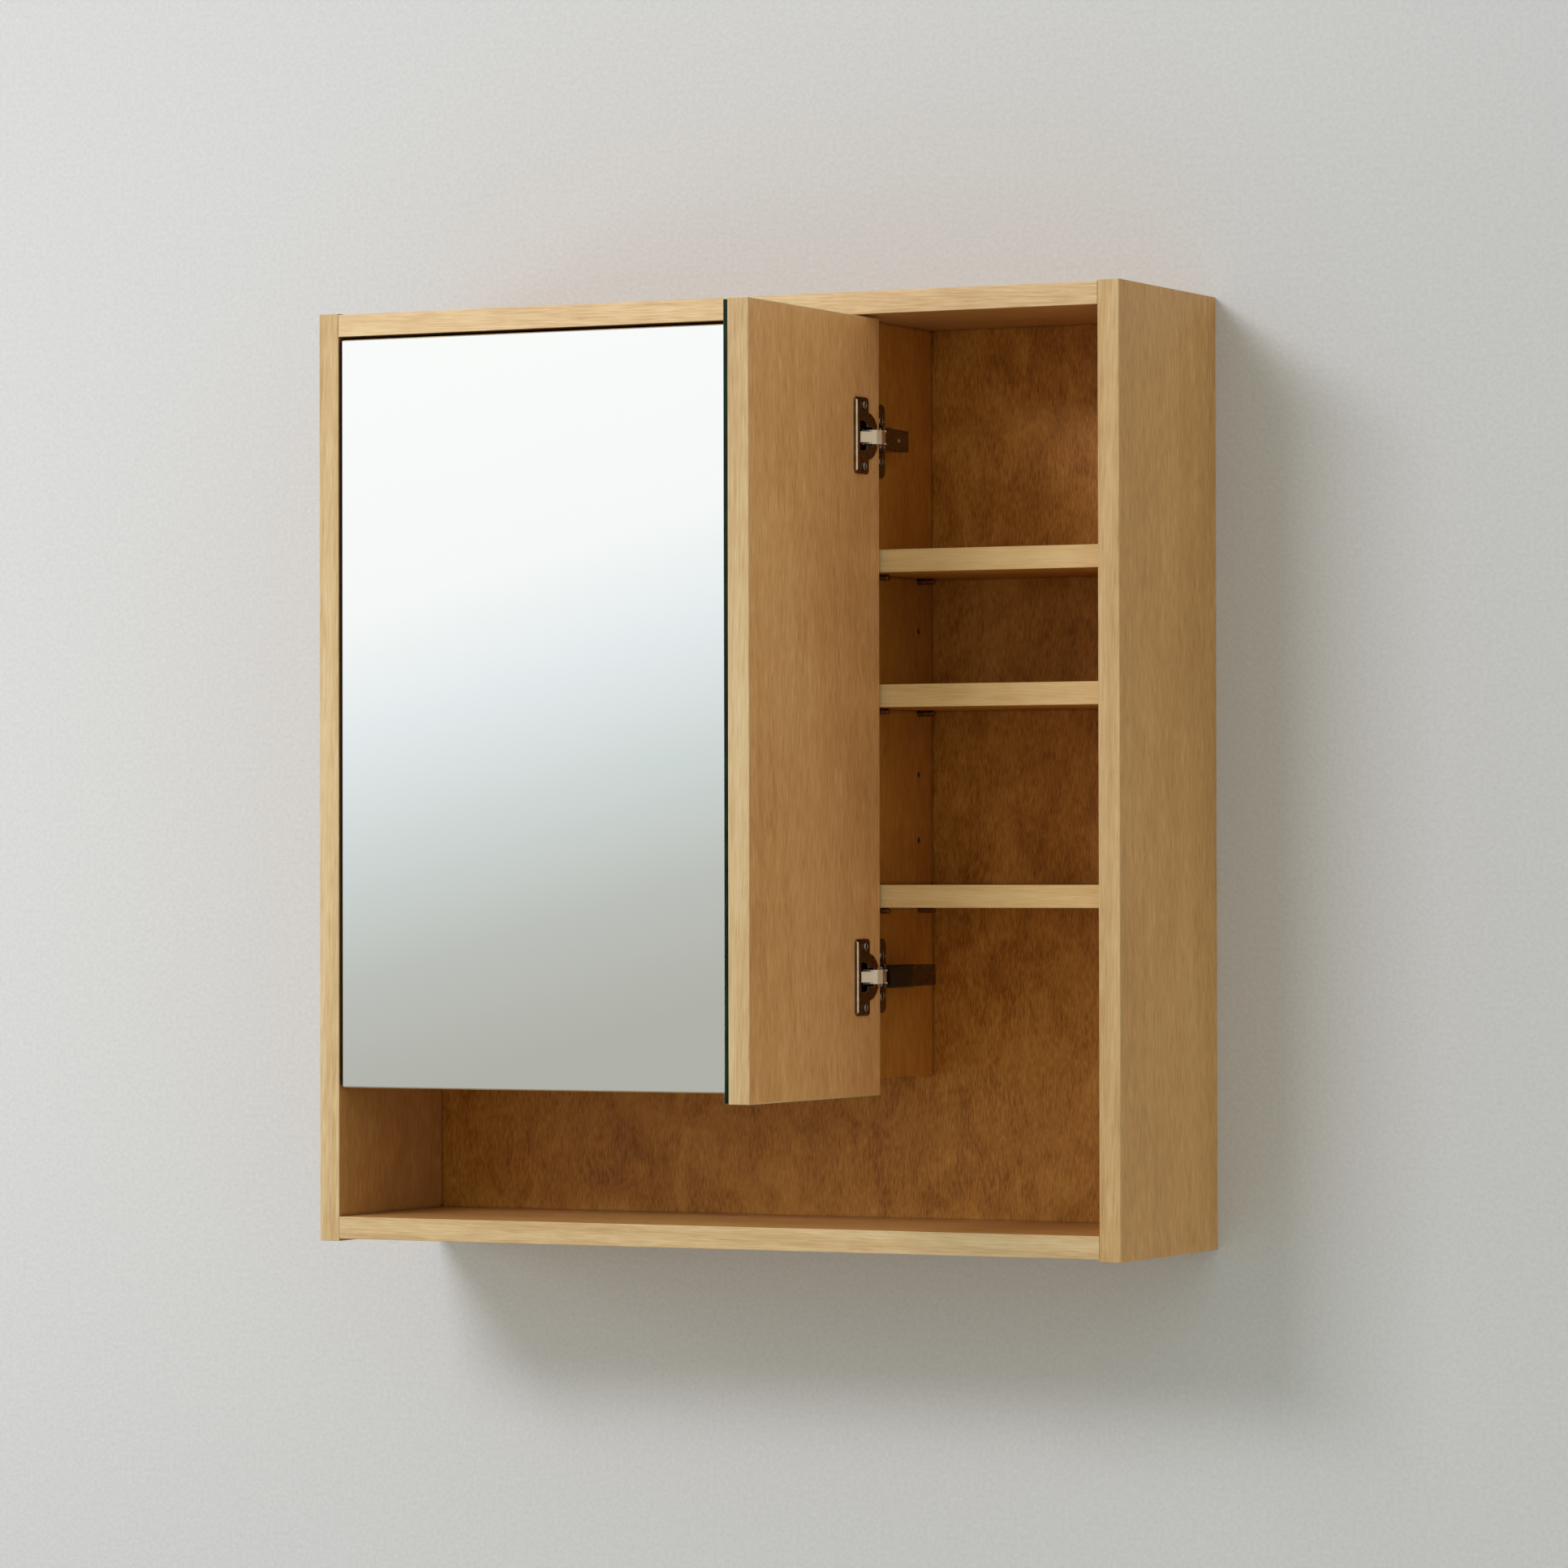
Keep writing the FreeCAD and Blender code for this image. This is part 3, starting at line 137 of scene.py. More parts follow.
# Each pattern's width on the board, and how many times longer it is along the grain.
FIBRE = 1.0 * MM                   # a bundle of fibres, whose run depends on the wood
STREAK, STREAK_RUN = 7 * MM, 18    # bands of lighter and darker fibres
FLECK, FLECK_RUN = 4.5 * MM, 5     # the short dark flecks of a figured leaf
CLOUD, CLOUD_RUN = 32 * MM, 1.6    # the cloudy figure
DRIFT, DRIFT_RUN = 140 * MM, 2     # the slow drift of a board's tone
RING = 16 * MM                     # spacing of the growth rings where the board cuts them
WAVE_PERIOD = 2 * math.pi / 20     # distance between the rings of a Wave texture at scale 1

# Shares of the tone: fibres, streaks, flecks, clouds and growth rings. The rest is slow drift.
PLAIN = (0.46, 0.10, 0.08, 0.14, 0.02)
FIGURED = (0.42, 0.04, 0.10, 0.34, 0.01)
STRIP = (0.38, 0.14, 0.06, 0.14, 0.06)
for leaf, shares in {"plain": PLAIN, "figured": FIGURED, "strip": STRIP}.items():
    print(leaf, "leaf, share of slow drift:", round(1 - sum(shares), 2))

# %% The tone of a leaf


def leaf_tone(tree, log, shares, run):
    """The wood's tone from 0 to 1, and the fibres and streaks that its surface follows."""

    def along(stretch):
        """The log's coordinates drawn out along the grain."""
        return add(tree, "VectorMath", {0: (log, 0), 1: (1, 1, 1 / stretch)}, operation="MULTIPLY")

    fibres = add(tree, "TexNoise", {"Vector": (along(run), 0), "Scale": 1 / FIBRE, "Detail": 2,
                                    "Roughness": 0.55})
    streaks = add(tree, "TexNoise", {"Vector": (along(STREAK_RUN), 0), "Scale": 1 / STREAK, "Detail": 3,
                                     "Roughness": 0.6})
    flecks = add(tree, "TexNoise", {"Vector": (along(FLECK_RUN), 0), "Scale": 1 / FLECK, "Detail": 3,
                                    "Roughness": 0.6, "Distortion": 0.5})
    cloud = add(tree, "TexNoise", {"Vector": (along(CLOUD_RUN), 0), "Scale": 1 / CLOUD, "Detail": 4,
                                   "Roughness": 0.6, "Distortion": 0.9})
    drift = add(tree, "TexNoise", {"Vector": (along(DRIFT_RUN), 0), "Scale": 1 / DRIFT, "Detail": 2})
    growth = add(tree, "TexWave", {"Vector": (log, 0), "Scale": WAVE_PERIOD / RING, "Distortion": 1.5,
                                   "Detail": 2, "Detail Scale": 1.5},
                 wave_type="RINGS", rings_direction="Z", wave_profile="SIN")
    tone = add(tree, "Math", {0: (drift, 0), 1: 1 - sum(shares)}, operation="MULTIPLY")
    for pattern, share in zip((fibres, streaks, flecks, cloud, growth), shares):
        tone = add(tree, "Math", {0: (pattern, 0), 1: share, 2: (tone, 0)}, operation="MULTIPLY_ADD")
    return tone, fibres, streaks


# %% [markdown]
# ## Plywood ends and bored holes
#
# Under its veneer an upright is plywood, and its cut ends show thin crossed layers, dark and light by
# turns. They could be modelled as strips, but they lie flush, so the material draws them by their depth in
# the board on each face that looks along the grain. The holes for shelf pins are bored into the same boards
# and hold hardly any light. Ambient Occlusion finds points with walls close all round them, and paints that
# shade into the colour there.

# %% Layers and bores

PLY = 1.4 * MM          # thickness of one layer
END_GRAIN = 0.98        # a face is a cut end when its normal points along the grain by more than this
BORE_REACH = 8 * MM     # how far a point inside a hole looks for walls


def plywood_ends(tree, place, face_colour, grain, core):
    """Mix in the crossed layers of plywood on the board's ends, and paint shade into its bored holes."""
    axis, start = core
    inside = add(tree, "SeparateXYZ", {0: (place, "Object")})
    depth = add(tree, "Math", {0: (inside, axis.upper()), 1: start}, operation="SUBTRACT")
    layer = add(tree, "Math", {0: (depth, 0), 1: 2 * PLY, 2: 0}, operation="WRAP")
    dark_layer = add(tree, "Math", {0: (layer, 0), 1: PLY}, operation="GREATER_THAN")
    speckle = add(tree, "TexNoise", {"Vector": (place, "Object"), "Scale": 1 / FIBRE, "Detail": 3})
    layers = add(tree, "MixRGB", {"Fac": (dark_layer, 0), "Color1": linear("CFA871"),
                                  "Color2": linear("A67B47")})
    speckled = add(tree, "MixRGB", {"Fac": (speckle, 0), "Color1": (layers, 0), "Color2": linear("B98F58")})
    facing = add(tree, "SeparateXYZ", {0: (place, "Normal")})
    along = add(tree, "Math", {0: (facing, grain.upper())}, operation="ABSOLUTE")
    end_mask = add(tree, "Math", {0: (along, 0), 1: END_GRAIN}, operation="GREATER_THAN")
    board = add(tree, "MixRGB", {"Fac": (end_mask, 0), "Color1": (face_colour, 0), "Color2": (speckled, 0)})
    # Ambient Occlusion darkens the inside of each bored hole: painted shade.
    bore_occlusion = add(tree, "AmbientOcclusion", {"Distance": BORE_REACH}, samples=4)
    bore_shade = add(tree, "MapRange", {"Value": (bore_occlusion, "AO"), "From Min": 0.25, "From Max": 0.45,
                                   "To Min": 0.06, "To Max": 1})
    return add(tree, "VectorMath", {0: (board, 0), 1: (bore_shade, 0)}, operation="MULTIPLY")


# %% [markdown]
# ## The finished leaf
#
# The leaf is laid in the board's place, coloured, and lacquered so thinly that its fibres can be felt: the
# streaks change the sheen a little and the fibres give a slight bump. Where faces meet in an inside corner,
# Ambient Occlusion with a short reach darkens the colour: painted shade, which also draws the fine dark
# line of each joint, at no cost in shape.

# %% A veneer material

GRAIN_TURN = {"x": (0, math.pi / 2, 0), "y": (-math.pi / 2, 0, 0), "z": (0, 0, 0)}  # lays the log's Z axis
LOG_TILT = (math.radians(0.9), math.radians(1.3), 0)
TONE_STOPS = (0.38, 0.5, 0.62)    # tones that get the dark, the middle and the light colour
CORNER_SHADE_REACH = 2.5 * MM                   # reach of the painted shade where faces meet, which also draws the joints' dark line


def veneer(name, grain, heart, colours, shares=PLAIN, run=16, lacquer=0.42, core=None):
    """Lacquered veneer whose fibres run along grain; heart is a point on the log's axis.

    run is a fibre bundle's length over its width, and lacquer is the roughness of the finish. core is given
    where cut ends show plywood: the board's thickness axis and one face's place on it.
    """
    material, tree = new_material(name)
    place = add(tree, "TexCoord")
    turn = [a + b for a, b in zip(GRAIN_TURN[grain], LOG_TILT)]
    log = add(tree, "Mapping", {"Vector": (place, "Object"), "Location": heart, "Rotation": turn},
              vector_type="TEXTURE")
    tone, fibres, streaks = leaf_tone(tree, log, shares, run)
    colour = add(tree, "ValToRGB", {0: (tone, 0)})
    set_ramp(colour, tuple(zip(TONE_STOPS, colours)))
    finished = plywood_ends(tree, place, colour, grain, core) if core else colour
    # Ambient Occlusion darkens the colour in inside corners: painted shade, which also draws the joints' dark
    # line.
    near = add(tree, "AmbientOcclusion", {"Distance": CORNER_SHADE_REACH}, samples=4)
    corner_shade = add(tree, "MapRange", {"Value": (near, "AO"), "From Min": 0.5, "From Max": 0.8,
                                  "To Min": 0.4, "To Max": 1})
    corner_shaded = add(tree, "VectorMath", {0: (finished, 0), 1: (corner_shade, 0)}, operation="MULTIPLY")
    rough = add(tree, "MapRange", {"Value": (streaks, 0), "From Min": 0.3, "From Max": 0.7,
                                   "To Min": lacquer - 0.05, "To Max": lacquer + 0.07})
    bump = add(tree, "Bump", {"Height": (fibres, 0), "Strength": 0.1, "Distance": 0.15 * MM})
    surface = add(tree, "BsdfPrincipled", {"Base Color": (corner_shaded, 0), "Roughness": (rough, 0), "IOR": 1.5,
                                           "Specular IOR Level": 0.3, "Normal": (bump, 0)})
    finish_material(tree, surface)
    return material


# %% Colours of the woods: dark, middle and light fibres

GOLDEN = ("B48248", "CA9657", "DBAB6B")   # stained veneer
SHADE_TONED_INSIDE = ("AE7328", "C98C38", "DCA34C")    # divider and shelves: low in blue, painted shade of the deep inside
SHADE_TONED_BACK = ("975C16", "C48432", "DBA04A")     # the back, a leaf with more figure: darker and low in blue, painted shade
FRESH = ("CC9157", "E3AA6A", "F3C084")    # the doors, sprayed in a lighter batch
PALE = ("BF9B68", "D2B382", "DFC698")     # the lippings, solid wood that took less stain
LIT_TOP_STRIP = ("CBA774", "E0BF90", "EDD4A6")    # a lighter copy for the top's strip: painted light
LIT_SHELF_STRIP = ("D5AD71", "E3BF84", "ECCB93")    # a lighter, warmer copy for the shelves' strips: painted light in the open door's shade
SHADED_RIGHT_STRIP = ("BA915B", "CDA973", "DABB89")    # a darker copy for the right side's strip: painted shade
SPRUCE = ("C9A877", "DCC193", "E8D2A9")   # the planed rails
BEECH = ("B98A5E", "CFA57A", "DBB68E")    # the dowels

# %% [markdown]
# ## Which board gets which cut
#
# Uprights and doors have their grain upright, as on the real cabinet, and shelves, top and bottom have
# theirs along the width. One material could serve them all, but then the grain would run on from board to
# board. So each board gets a log of its own, placed a little beside it, and no two show the same arches.

# %% Dress the boards

dressed = set()


def middle(node):
    low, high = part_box(node)
    return (Vector(low) + Vector(high)) / 2


def log_of(node, x, y, z):
    """A point on the axis of a node's log, which lies x, y and z mm from the node's middle."""
    return middle(node) + Vector((x, y, z)) * MM


def dress(material, *nodes):
    """Put one material on CAD nodes."""
    for name in nodes:
        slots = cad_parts[name].data.materials
        slots.clear()
        slots.append(material)
    dressed.update(nodes)


# The divider's leaf takes the inside colours, which carry painted shade.
UPRIGHTS = {"left_side_panel": (-70, GOLDEN), "right_side_panel": (60, GOLDEN), "divider_panel": (85, SHADE_TONED_INSIDE)}
for name, (beside, colours) in UPRIGHTS.items():
    core = ("x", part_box(name)[0][0])
    dress(veneer(f"birch_{name}", "z", log_of(name, beside, 12, 0), colours, core=core), name)

for name, above in {"top_panel": 95, "bottom_panel": -80}.items():
    dress(veneer(f"birch_{name}", "x", log_of(name, 0, 20, above), GOLDEN), name)

# The back's colours carry the painted shade at the back of the bays.
back_log = log_of("back_panel", 70, 90, 0)
dress(veneer("birch_figured_back", "z", back_log, SHADE_TONED_BACK, FIGURED, run=7), "back_panel")

SHELVES = [f"{side}_{level}_shelf" for side in ("right", "left") for level in ("upper", "middle", "lower")]
# The shelves take the inside colours, which carry painted shade.
dress(veneer("birch_shelves", "x", log_of("right_middle_shelf", 0, 30, 60), SHADE_TONED_INSIDE), *SHELVES)

for side, (beside, behind) in {"right": (-75, 20), "left": (40, 95)}.items():
    board = f"{side}_door_panel"
    dress(veneer(f"birch_{side}_door", "z", log_of(board, beside, behind, 0), FRESH), board)

rail_log = log_of("wall_rail", 0, 60, 40)
dress(veneer("planed_spruce_rails", "x", rail_log, SPRUCE, run=36, lacquer=0.7), "wall_rail", "hanging_rail")
dress(veneer("beech_dowels", "x", middle("bottom_panel"), BEECH, lacquer=0.65), "carcass_dowels")
print("nodes dressed in wood:", len(dressed))

# %% [markdown]
# ## Lippings
#
# Each board's front edge carries a thin strip of solid wood, and a door has one on all four edges. A strip
# is glued on, trimmed flush and eased with sandpaper, so its outer edges are slightly round and a fine dark
# line shows where two strips meet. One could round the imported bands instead, but each of them is one node
# for many strips. So each strip starts as a cube at its size and place, and the edges that a hand would
# ease are bevelled in edit mode.

# %% The strips' wood

# A log for strips that run along each axis, a little beside the world's origin.
STRIP_LOGS = {"x": (0, 50 * MM, 40 * MM), "y": (50 * MM, 0, 40 * MM), "z": (50 * MM, 60 * MM, 0)}


def lipping_wood(name, axis, colours):
    """Maple for strips whose grain runs along axis."""
    return veneer(f"maple_{name}", axis, Vector(STRIP_LOGS[axis]), colours, STRIP, run=30, lacquer=0.4)


lipping_grain = {axis: lipping_wood(f"lipping_{axis}", axis, PALE) for axis in STRIP_LOGS}
# Lighter strips on the top and shelves and a darker one on the right side: painted light and shade.
PAINTED_LIGHT_STRIPS = {"top_panel": lipping_wood("top_strip_painted_light", "x", LIT_TOP_STRIP),
                "right_side_panel": lipping_wood("right_strip_painted_shade", "z", SHADED_RIGHT_STRIP),
                **dict.fromkeys(SHELVES, lipping_wood("shelf_strip_painted_light", "x", LIT_SHELF_STRIP))}
print("boards with a strip of another tone:", len(PAINTED_LIGHT_STRIPS))

# %% Helpers that model a piece


def deselect_all():
    """Leave edit mode and select nothing."""
    if bpy.context.mode != "OBJECT":
        bpy.ops.object.mode_set(mode="OBJECT")
    bpy.ops.object.select_all(action="DESELECT")


def take(piece):
    """Make one piece the selected and active one."""
    deselect_all()
    piece.select_set(True)
    bpy.context.view_layer.objects.active = piece


def settle(piece):
    """Put a piece's place, turn and size into its mesh, so that its object sits at the origin."""
    take(piece)
    bpy.ops.object.transform_apply(location=True, rotation=True, scale=True)


def cuboid(name, low, high):
    """A cube between two corners, as the start of a piece."""
    deselect_all()
    low, high = Vector(low), Vector(high)
    bpy.ops.mesh.primitive_cube_add(size=1, location=(low + high) / 2)
    piece = bpy.context.object
    piece.name = name
    piece.scale = high - low
    settle(piece)
    return piece


def ease_edges(piece, width, chosen, segments=2):
    """Bevel the edges that chosen picks by their two end points."""
    take(piece)
    bpy.ops.object.mode_set(mode="EDIT")
    bpy.ops.mesh.select_mode(type="EDGE")
    bpy.ops.mesh.select_all(action="DESELECT")
    bpy.ops.object.mode_set(mode="OBJECT")
    mesh = piece.data
    for edge in mesh.edges:
        start, end = (mesh.vertices[index].co for index in edge.vertices)
        edge.select = chosen(start, end)
    bpy.ops.object.mode_set(mode="EDIT")
    bpy.ops.mesh.bevel(offset=width, segments=segments, profile=0.5, affect="EDGES")
    bpy.ops.object.mode_set(mode="OBJECT")


# %% Model one strip

EASED = 0.45 * MM      # size of the round edge that sandpaper leaves
SAME_PLACE = 1e-6      # two places closer than this, in metres, are one


def lies_on(axis, place):
    """A test for edges whose two ends lie at one place on an axis."""
    return lambda start, end: all(abs(point[axis] - place) < SAME_PLACE for point in (start, end))


def lipping(name, low, high, outer_axis, outer_place, body, node, wood=None):
    """A strip between two corners whose face at outer_place on outer_axis looks outwards."""
    piece = cuboid(name, low, high)
    ease_edges(piece, EASED, lies_on(outer_axis, outer_place))
    sizes = [abs(b - a) for a, b in zip(low, high)]
    piece.data.materials.append(wood or lipping_grain["xyz"[sizes.index(max(sizes))]])
    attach(piece, body)
    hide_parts(node)
    return piece


# %% Lippings of the carcass and the shelves

X, Y, Z = 0, 1, 2
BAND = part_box("left_side_panel")[0][Y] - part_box("carcass_edge_bands")[0][Y]
for board in (*UPRIGHTS, "top_panel", "bottom_panel", *SHELVES):
    low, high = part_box(board)
    front = low[Y] - BAND
    near, far = (low[X], front, low[Z]), (high[X], low[Y], high[Z])
    node = "shelf_edge_bands" if board in SHELVES else "carcass_edge_bands"
    lipping(f"{board}_lipping", near, far, Y, front, "cabinet", node, PAINTED_LIGHT_STRIPS.get(board))
print("lipping thickness in mm:", round(BAND / MM, 2))

# %% Lippings round the doors


def door_lippings(side, across):
    """Four strips round a door's board; across is the axis along the door's width."""
    node = f"{side}_door_edge_bands"
    inner_low, inner_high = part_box(f"{side}_door_panel")
    outer_low, outer_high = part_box(node)
    strips = []
    edges = (("near", across, False), ("far", across, True), ("foot", Z, False), ("head", Z, True))
    for name, axis, rising in edges:
        low = list(outer_low) if axis == across else list(inner_low)
        high = list(outer_high) if axis == across else list(inner_high)
        if rising:
            low[axis], high[axis] = inner_high[axis], outer_high[axis]
        else:
            low[axis], high[axis] = outer_low[axis], inner_low[axis]
        outer = high[axis] if rising else low[axis]
        strips.append(lipping(f"{side}_door_{name}_lipping", low, high, axis, outer, f"{side}_door", node))
    return strips


print("door lippings:", len(door_lippings("left", X) + door_lippings("right", Y)))

# %% [markdown]
# ## Mirrors
#
# A mirror is float glass, silvered on its back. Its front shows the room, and its cut edge looks nearly
# black with a green cast because light that enters the side gets lost inside. The ground arris along the
# top and foot gets a bright finish, a painted highlight, while up the sides it gets the dark finish of the
# cut edge. Real glass over silver could be made of two pieces, but a pane of one metal-like finish reflects
# the same and is quicker. The pane starts as a cube with its front edges bevelled flat, and each face gets
# its finish by the way it looks.

# %% Silver and paint


def silvered_glass():
    """A clean mirror, with the faint haze that wiping leaves."""
    material, tree = new_material("silvered_float_glass")
    place = add(tree, "TexCoord")
    wiped = add(tree, "VectorMath", {0: (place, "Object"), 1: (1, 1, 3)}, operation="MULTIPLY")
    haze = add(tree, "TexNoise", {"Vector": (wiped, 0), "Scale": 9, "Detail": 5, "Roughness": 0.6,
                                  "Distortion": 0.8})
    rough = add(tree, "MapRange", {"Value": (haze, 0), "From Min": 0.45, "From Max": 0.8,
                                   "To Min": 0.012, "To Max": 0.035})
    tint = add(tree, "MixRGB", {"Fac": (haze, 0), "Color1": linear("FAFDFB"), "Color2": linear("FCFDFC")})
    surface = add(tree, "BsdfPrincipled", {"Base Color": (tint, 0), "Metallic": 1, "Roughness": (rough, 0)})
    finish_material(tree, surface)
    return material


def backing_paint():
    """The grey paint that protects the silver."""
    material, tree = new_material("mirror_backing_paint")
    place = add(tree, "TexCoord")
    spray = add(tree, "TexNoise", {"Vector": (place, "Object"), "Scale": 1 / (1.5 * MM), "Detail": 3})
    colour = add(tree, "MixRGB", {"Fac": (spray, 0), "Color1": linear("6E7672"), "Color2": linear("7C8480")})
    surface = add(tree, "BsdfPrincipled", {"Base Color": (colour, 0), "Roughness": 0.6})
    finish_material(tree, surface)
    return material


# %% Edges of the glass

EDGE_GRIND = 0.3 * MM      # spacing of the marks that grinding leaves on the cut edge
ARRIS_GRIND = 0.4 * MM     # and on the arris


def glass_edge():
    """The cut and smoothed edge of the pane: deep green, nearly black."""
    material, tree = new_material("float_glass_cut_edge")
    place = add(tree, "TexCoord")
    depth = add(tree, "TexNoise", {"Vector": (place, "Object"), "Scale": 60, "Detail": 3})
    colour = add(tree, "ValToRGB", {0: (depth, 0)})
    set_ramp(colour, ((0.35, "060D07"), (0.65, "132415")))
    grind = add(tree, "TexNoise", {"Vector": (place, "Object"), "Scale": 1 / EDGE_GRIND, "Detail": 2})
    bump = add(tree, "Bump", {"Height": (grind, 0), "Strength": 0.1, "Distance": 0.05 * MM})
    surface = add(tree, "BsdfPrincipled", {"Base Color": (colour, 0), "Roughness": 0.3, "IOR": 1.52,
                                           "Specular Tint": linear("7FA58C"), "Normal": (bump, 0)})
    finish_material(tree, surface)
    return material


def arris_highlight():
    """The narrow ground bevel round the front in a bright finish: a painted highlight along the top and foot.
    """
    material, tree = new_material("float_glass_arris_highlight")
    place = add(tree, "TexCoord")
    grind = add(tree, "TexNoise", {"Vector": (place, "Object"), "Scale": 1 / ARRIS_GRIND, "Detail": 2})
    colour = add(tree, "MixRGB", {"Fac": (grind, 0), "Color1": linear("D9E2DC"), "Color2": linear("F4F7F5")})
    surface = add(tree, "BsdfPrincipled", {"Base Color": (colour, 0), "Metallic": 0.8, "Roughness": 0.3})
    finish_material(tree, surface)
    return material


# %% Model the two panes

ARRIS = 0.5 * MM
MIRROR_FINISHES = [silvered_glass(), arris_highlight(), glass_edge(), backing_paint()]
SILVER, LIT_ARRIS, CUT, PAINTED = range(len(MIRROR_FINISHES))


def finish_of(normal, axis):
    """The finish of a pane's face, by the way it looks; the front looks down the axis.

    The arris along the top and foot gets the bright finish, a painted highlight.
    Up the sides it gets the dark finish of the cut edge.
    """
    if normal[axis] < -0.9:
        return SILVER
    # Only the arris faces along the top and foot get the bright finish: a painted highlight.
    if normal[axis] < -0.3 and abs(normal[Z]) > 0.3:
        return LIT_ARRIS
    return PAINTED if normal[axis] > 0.9 else CUT


def mirror_pane(side, axis):
    """A pane whose silvered front looks towards lower values of axis."""
    low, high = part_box(f"{side}_mirror")
    pane = cuboid(f"{side}_mirror_pane", low, high)
    ease_edges(pane, ARRIS, lies_on(axis, low[axis]), segments=1)
    for finish in MIRROR_FINISHES:
        pane.data.materials.append(finish)
    for face in pane.data.polygons:
        face.material_index = finish_of(face.normal, axis)
    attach(pane, f"{side}_door")
    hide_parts(f"{side}_mirror")
    return pane


for side, axis in (("left", Y), ("right", X)):
    print(side, "pane faces:", len(mirror_pane(side, axis).data.polygons))

# %% [markdown]
# ## Hinge metals
#
# The hinges are pressed steel. Cups, arms and plates are plated in black nickel, which is brown in warm
# light, and the outer link is bright nickel with a satin grain from tumbling. Plating keeps the sheet's
# fine texture. The edges could be bevelled, but the imported model's meshes stay as they are, so a Bevel
# node rounds them for the light alone and finds them, and there the colour is mixed towards bright metal:
# a painted highlight. Metals keep their default IOR, and their colour is in the base colour.

# %% Plated steel and moulded plastic

EDGE_ROUND = 0.4 * MM       # radius of the rounded edges, which also get a painted highlight
HIGHLIGHT_METAL = "D8CBB8"          # bright metal of the painted highlights on edges, beads and screw rims
PEBBLE = 0.35 * MM         # texture of the sheet under the plating
TONE_PATCH = 5 * MM        # patches over which the plating's tone drifts
FLOW = 8 * MM              # patches that the flow into the mould leaves
MOULD_GRAIN = 0.4 * MM     # texture of the mould


def plated_steel(name, dark, light, roughness):
    """Nickel plated sheet steel: tone drifts a little, the surface is finely pebbled, and edges get a painted
    highlight.
    """
    material, tree = new_material(name)
    place = add(tree, "TexCoord")
    drift = add(tree, "TexNoise", {"Vector": (place, "Object"), "Scale": 1 / TONE_PATCH, "Detail": 4})
    colour = add(tree, "ValToRGB", {0: (drift, 0)})
    set_ramp(colour, ((0.35, dark), (0.65, light)))
    rough = add(tree, "MapRange", {"Value": (drift, 0), "From Min": 0.3, "From Max": 0.7,
                                   "To Min": roughness - 0.06, "To Max": roughness + 0.06})
    # Along the edges the colour is mixed towards a bright metal: a painted highlight.
    rounded = add(tree, "Bevel", {"Radius": EDGE_ROUND}, samples=4)
    flat = add(tree, "NewGeometry")
    agreement = add(tree, "VectorMath", {0: (rounded, 0), 1: (flat, "Normal")}, operation="DOT_PRODUCT")
    edge_highlight = add(tree, "MapRange", {"Value": (agreement, "Value"), "From Min": 0.8, "From Max": 0.97,
                                  "To Min": 0.8, "To Max": 0})
    with_edge_highlight = add(tree, "MixRGB", {"Fac": (edge_highlight, 0), "Color1": (colour, 0), "Color2": linear(HIGHLIGHT_METAL)})
    pebbles = add(tree, "TexNoise", {"Vector": (place, "Object"), "Scale": 1 / PEBBLE, "Detail": 2})
    bump = add(tree, "Bump", {"Height": (pebbles, 0), "Strength": 0.12, "Distance": 0.03 * MM,
                              "Normal": (rounded, 0)})
    surface = add(tree, "BsdfPrincipled", {"Base Color": (with_edge_highlight, 0), "Metallic": 1, "Roughness": (rough, 0),
                                           "Normal": (bump, 0)})
    finish_material(tree, surface)
    return material


def moulded_plastic(name, dark, light, roughness):
    """Moulded plastic with the faint texture of its tool."""
    material, tree = new_material(name)
    place = add(tree, "TexCoord")
    flow = add(tree, "TexNoise", {"Vector": (place, "Object"), "Scale": 1 / FLOW, "Detail": 3})
    colour = add(tree, "ValToRGB", {0: (flow, 0)})
    set_ramp(colour, ((0.35, dark), (0.65, light)))
    texture = add(tree, "TexNoise", {"Vector": (place, "Object"), "Scale": 1 / MOULD_GRAIN, "Detail": 2})
    rough = add(tree, "MapRange", {"Value": (texture, 0), "From Min": 0.3, "From Max": 0.7,
                                   "To Min": roughness - 0.05, "To Max": roughness + 0.05})
    bump = add(tree, "Bump", {"Height": (texture, 0), "Strength": 0.15, "Distance": 0.04 * MM})
    surface = add(tree, "BsdfPrincipled", {"Base Color": (colour, 0), "Roughness": (rough, 0), "IOR": 1.48,
                                           "Normal": (bump, 0)})
    finish_material(tree, surface)
    return material


# %% Dress the hinges, pins and buttons

black_nickel = plated_steel("black_nickel_plated_steel", "665A50", "7C7066", 0.26)
bright_nickel = plated_steel("satin_nickel_plated_steel", "D6C7AF", "DFD1BA", 0.5)
# A brighter nickel, for painted highlights on the beads and the screws' rims.
highlight_nickel = plated_steel("nickel_painted_highlight", "C4B5A0", HIGHLIGHT_METAL, 0.3)
bronzed_steel = plated_steel("bronzed_steel", "87725A", "A08A6E", 0.26)
damper_plastic = moulded_plastic("black_acetal", "0D0F0A", "171A12", 0.38)
soft_button = moulded_plastic("clear_soft_vinyl", "B9B7AE", "CDCBC2", 0.3)

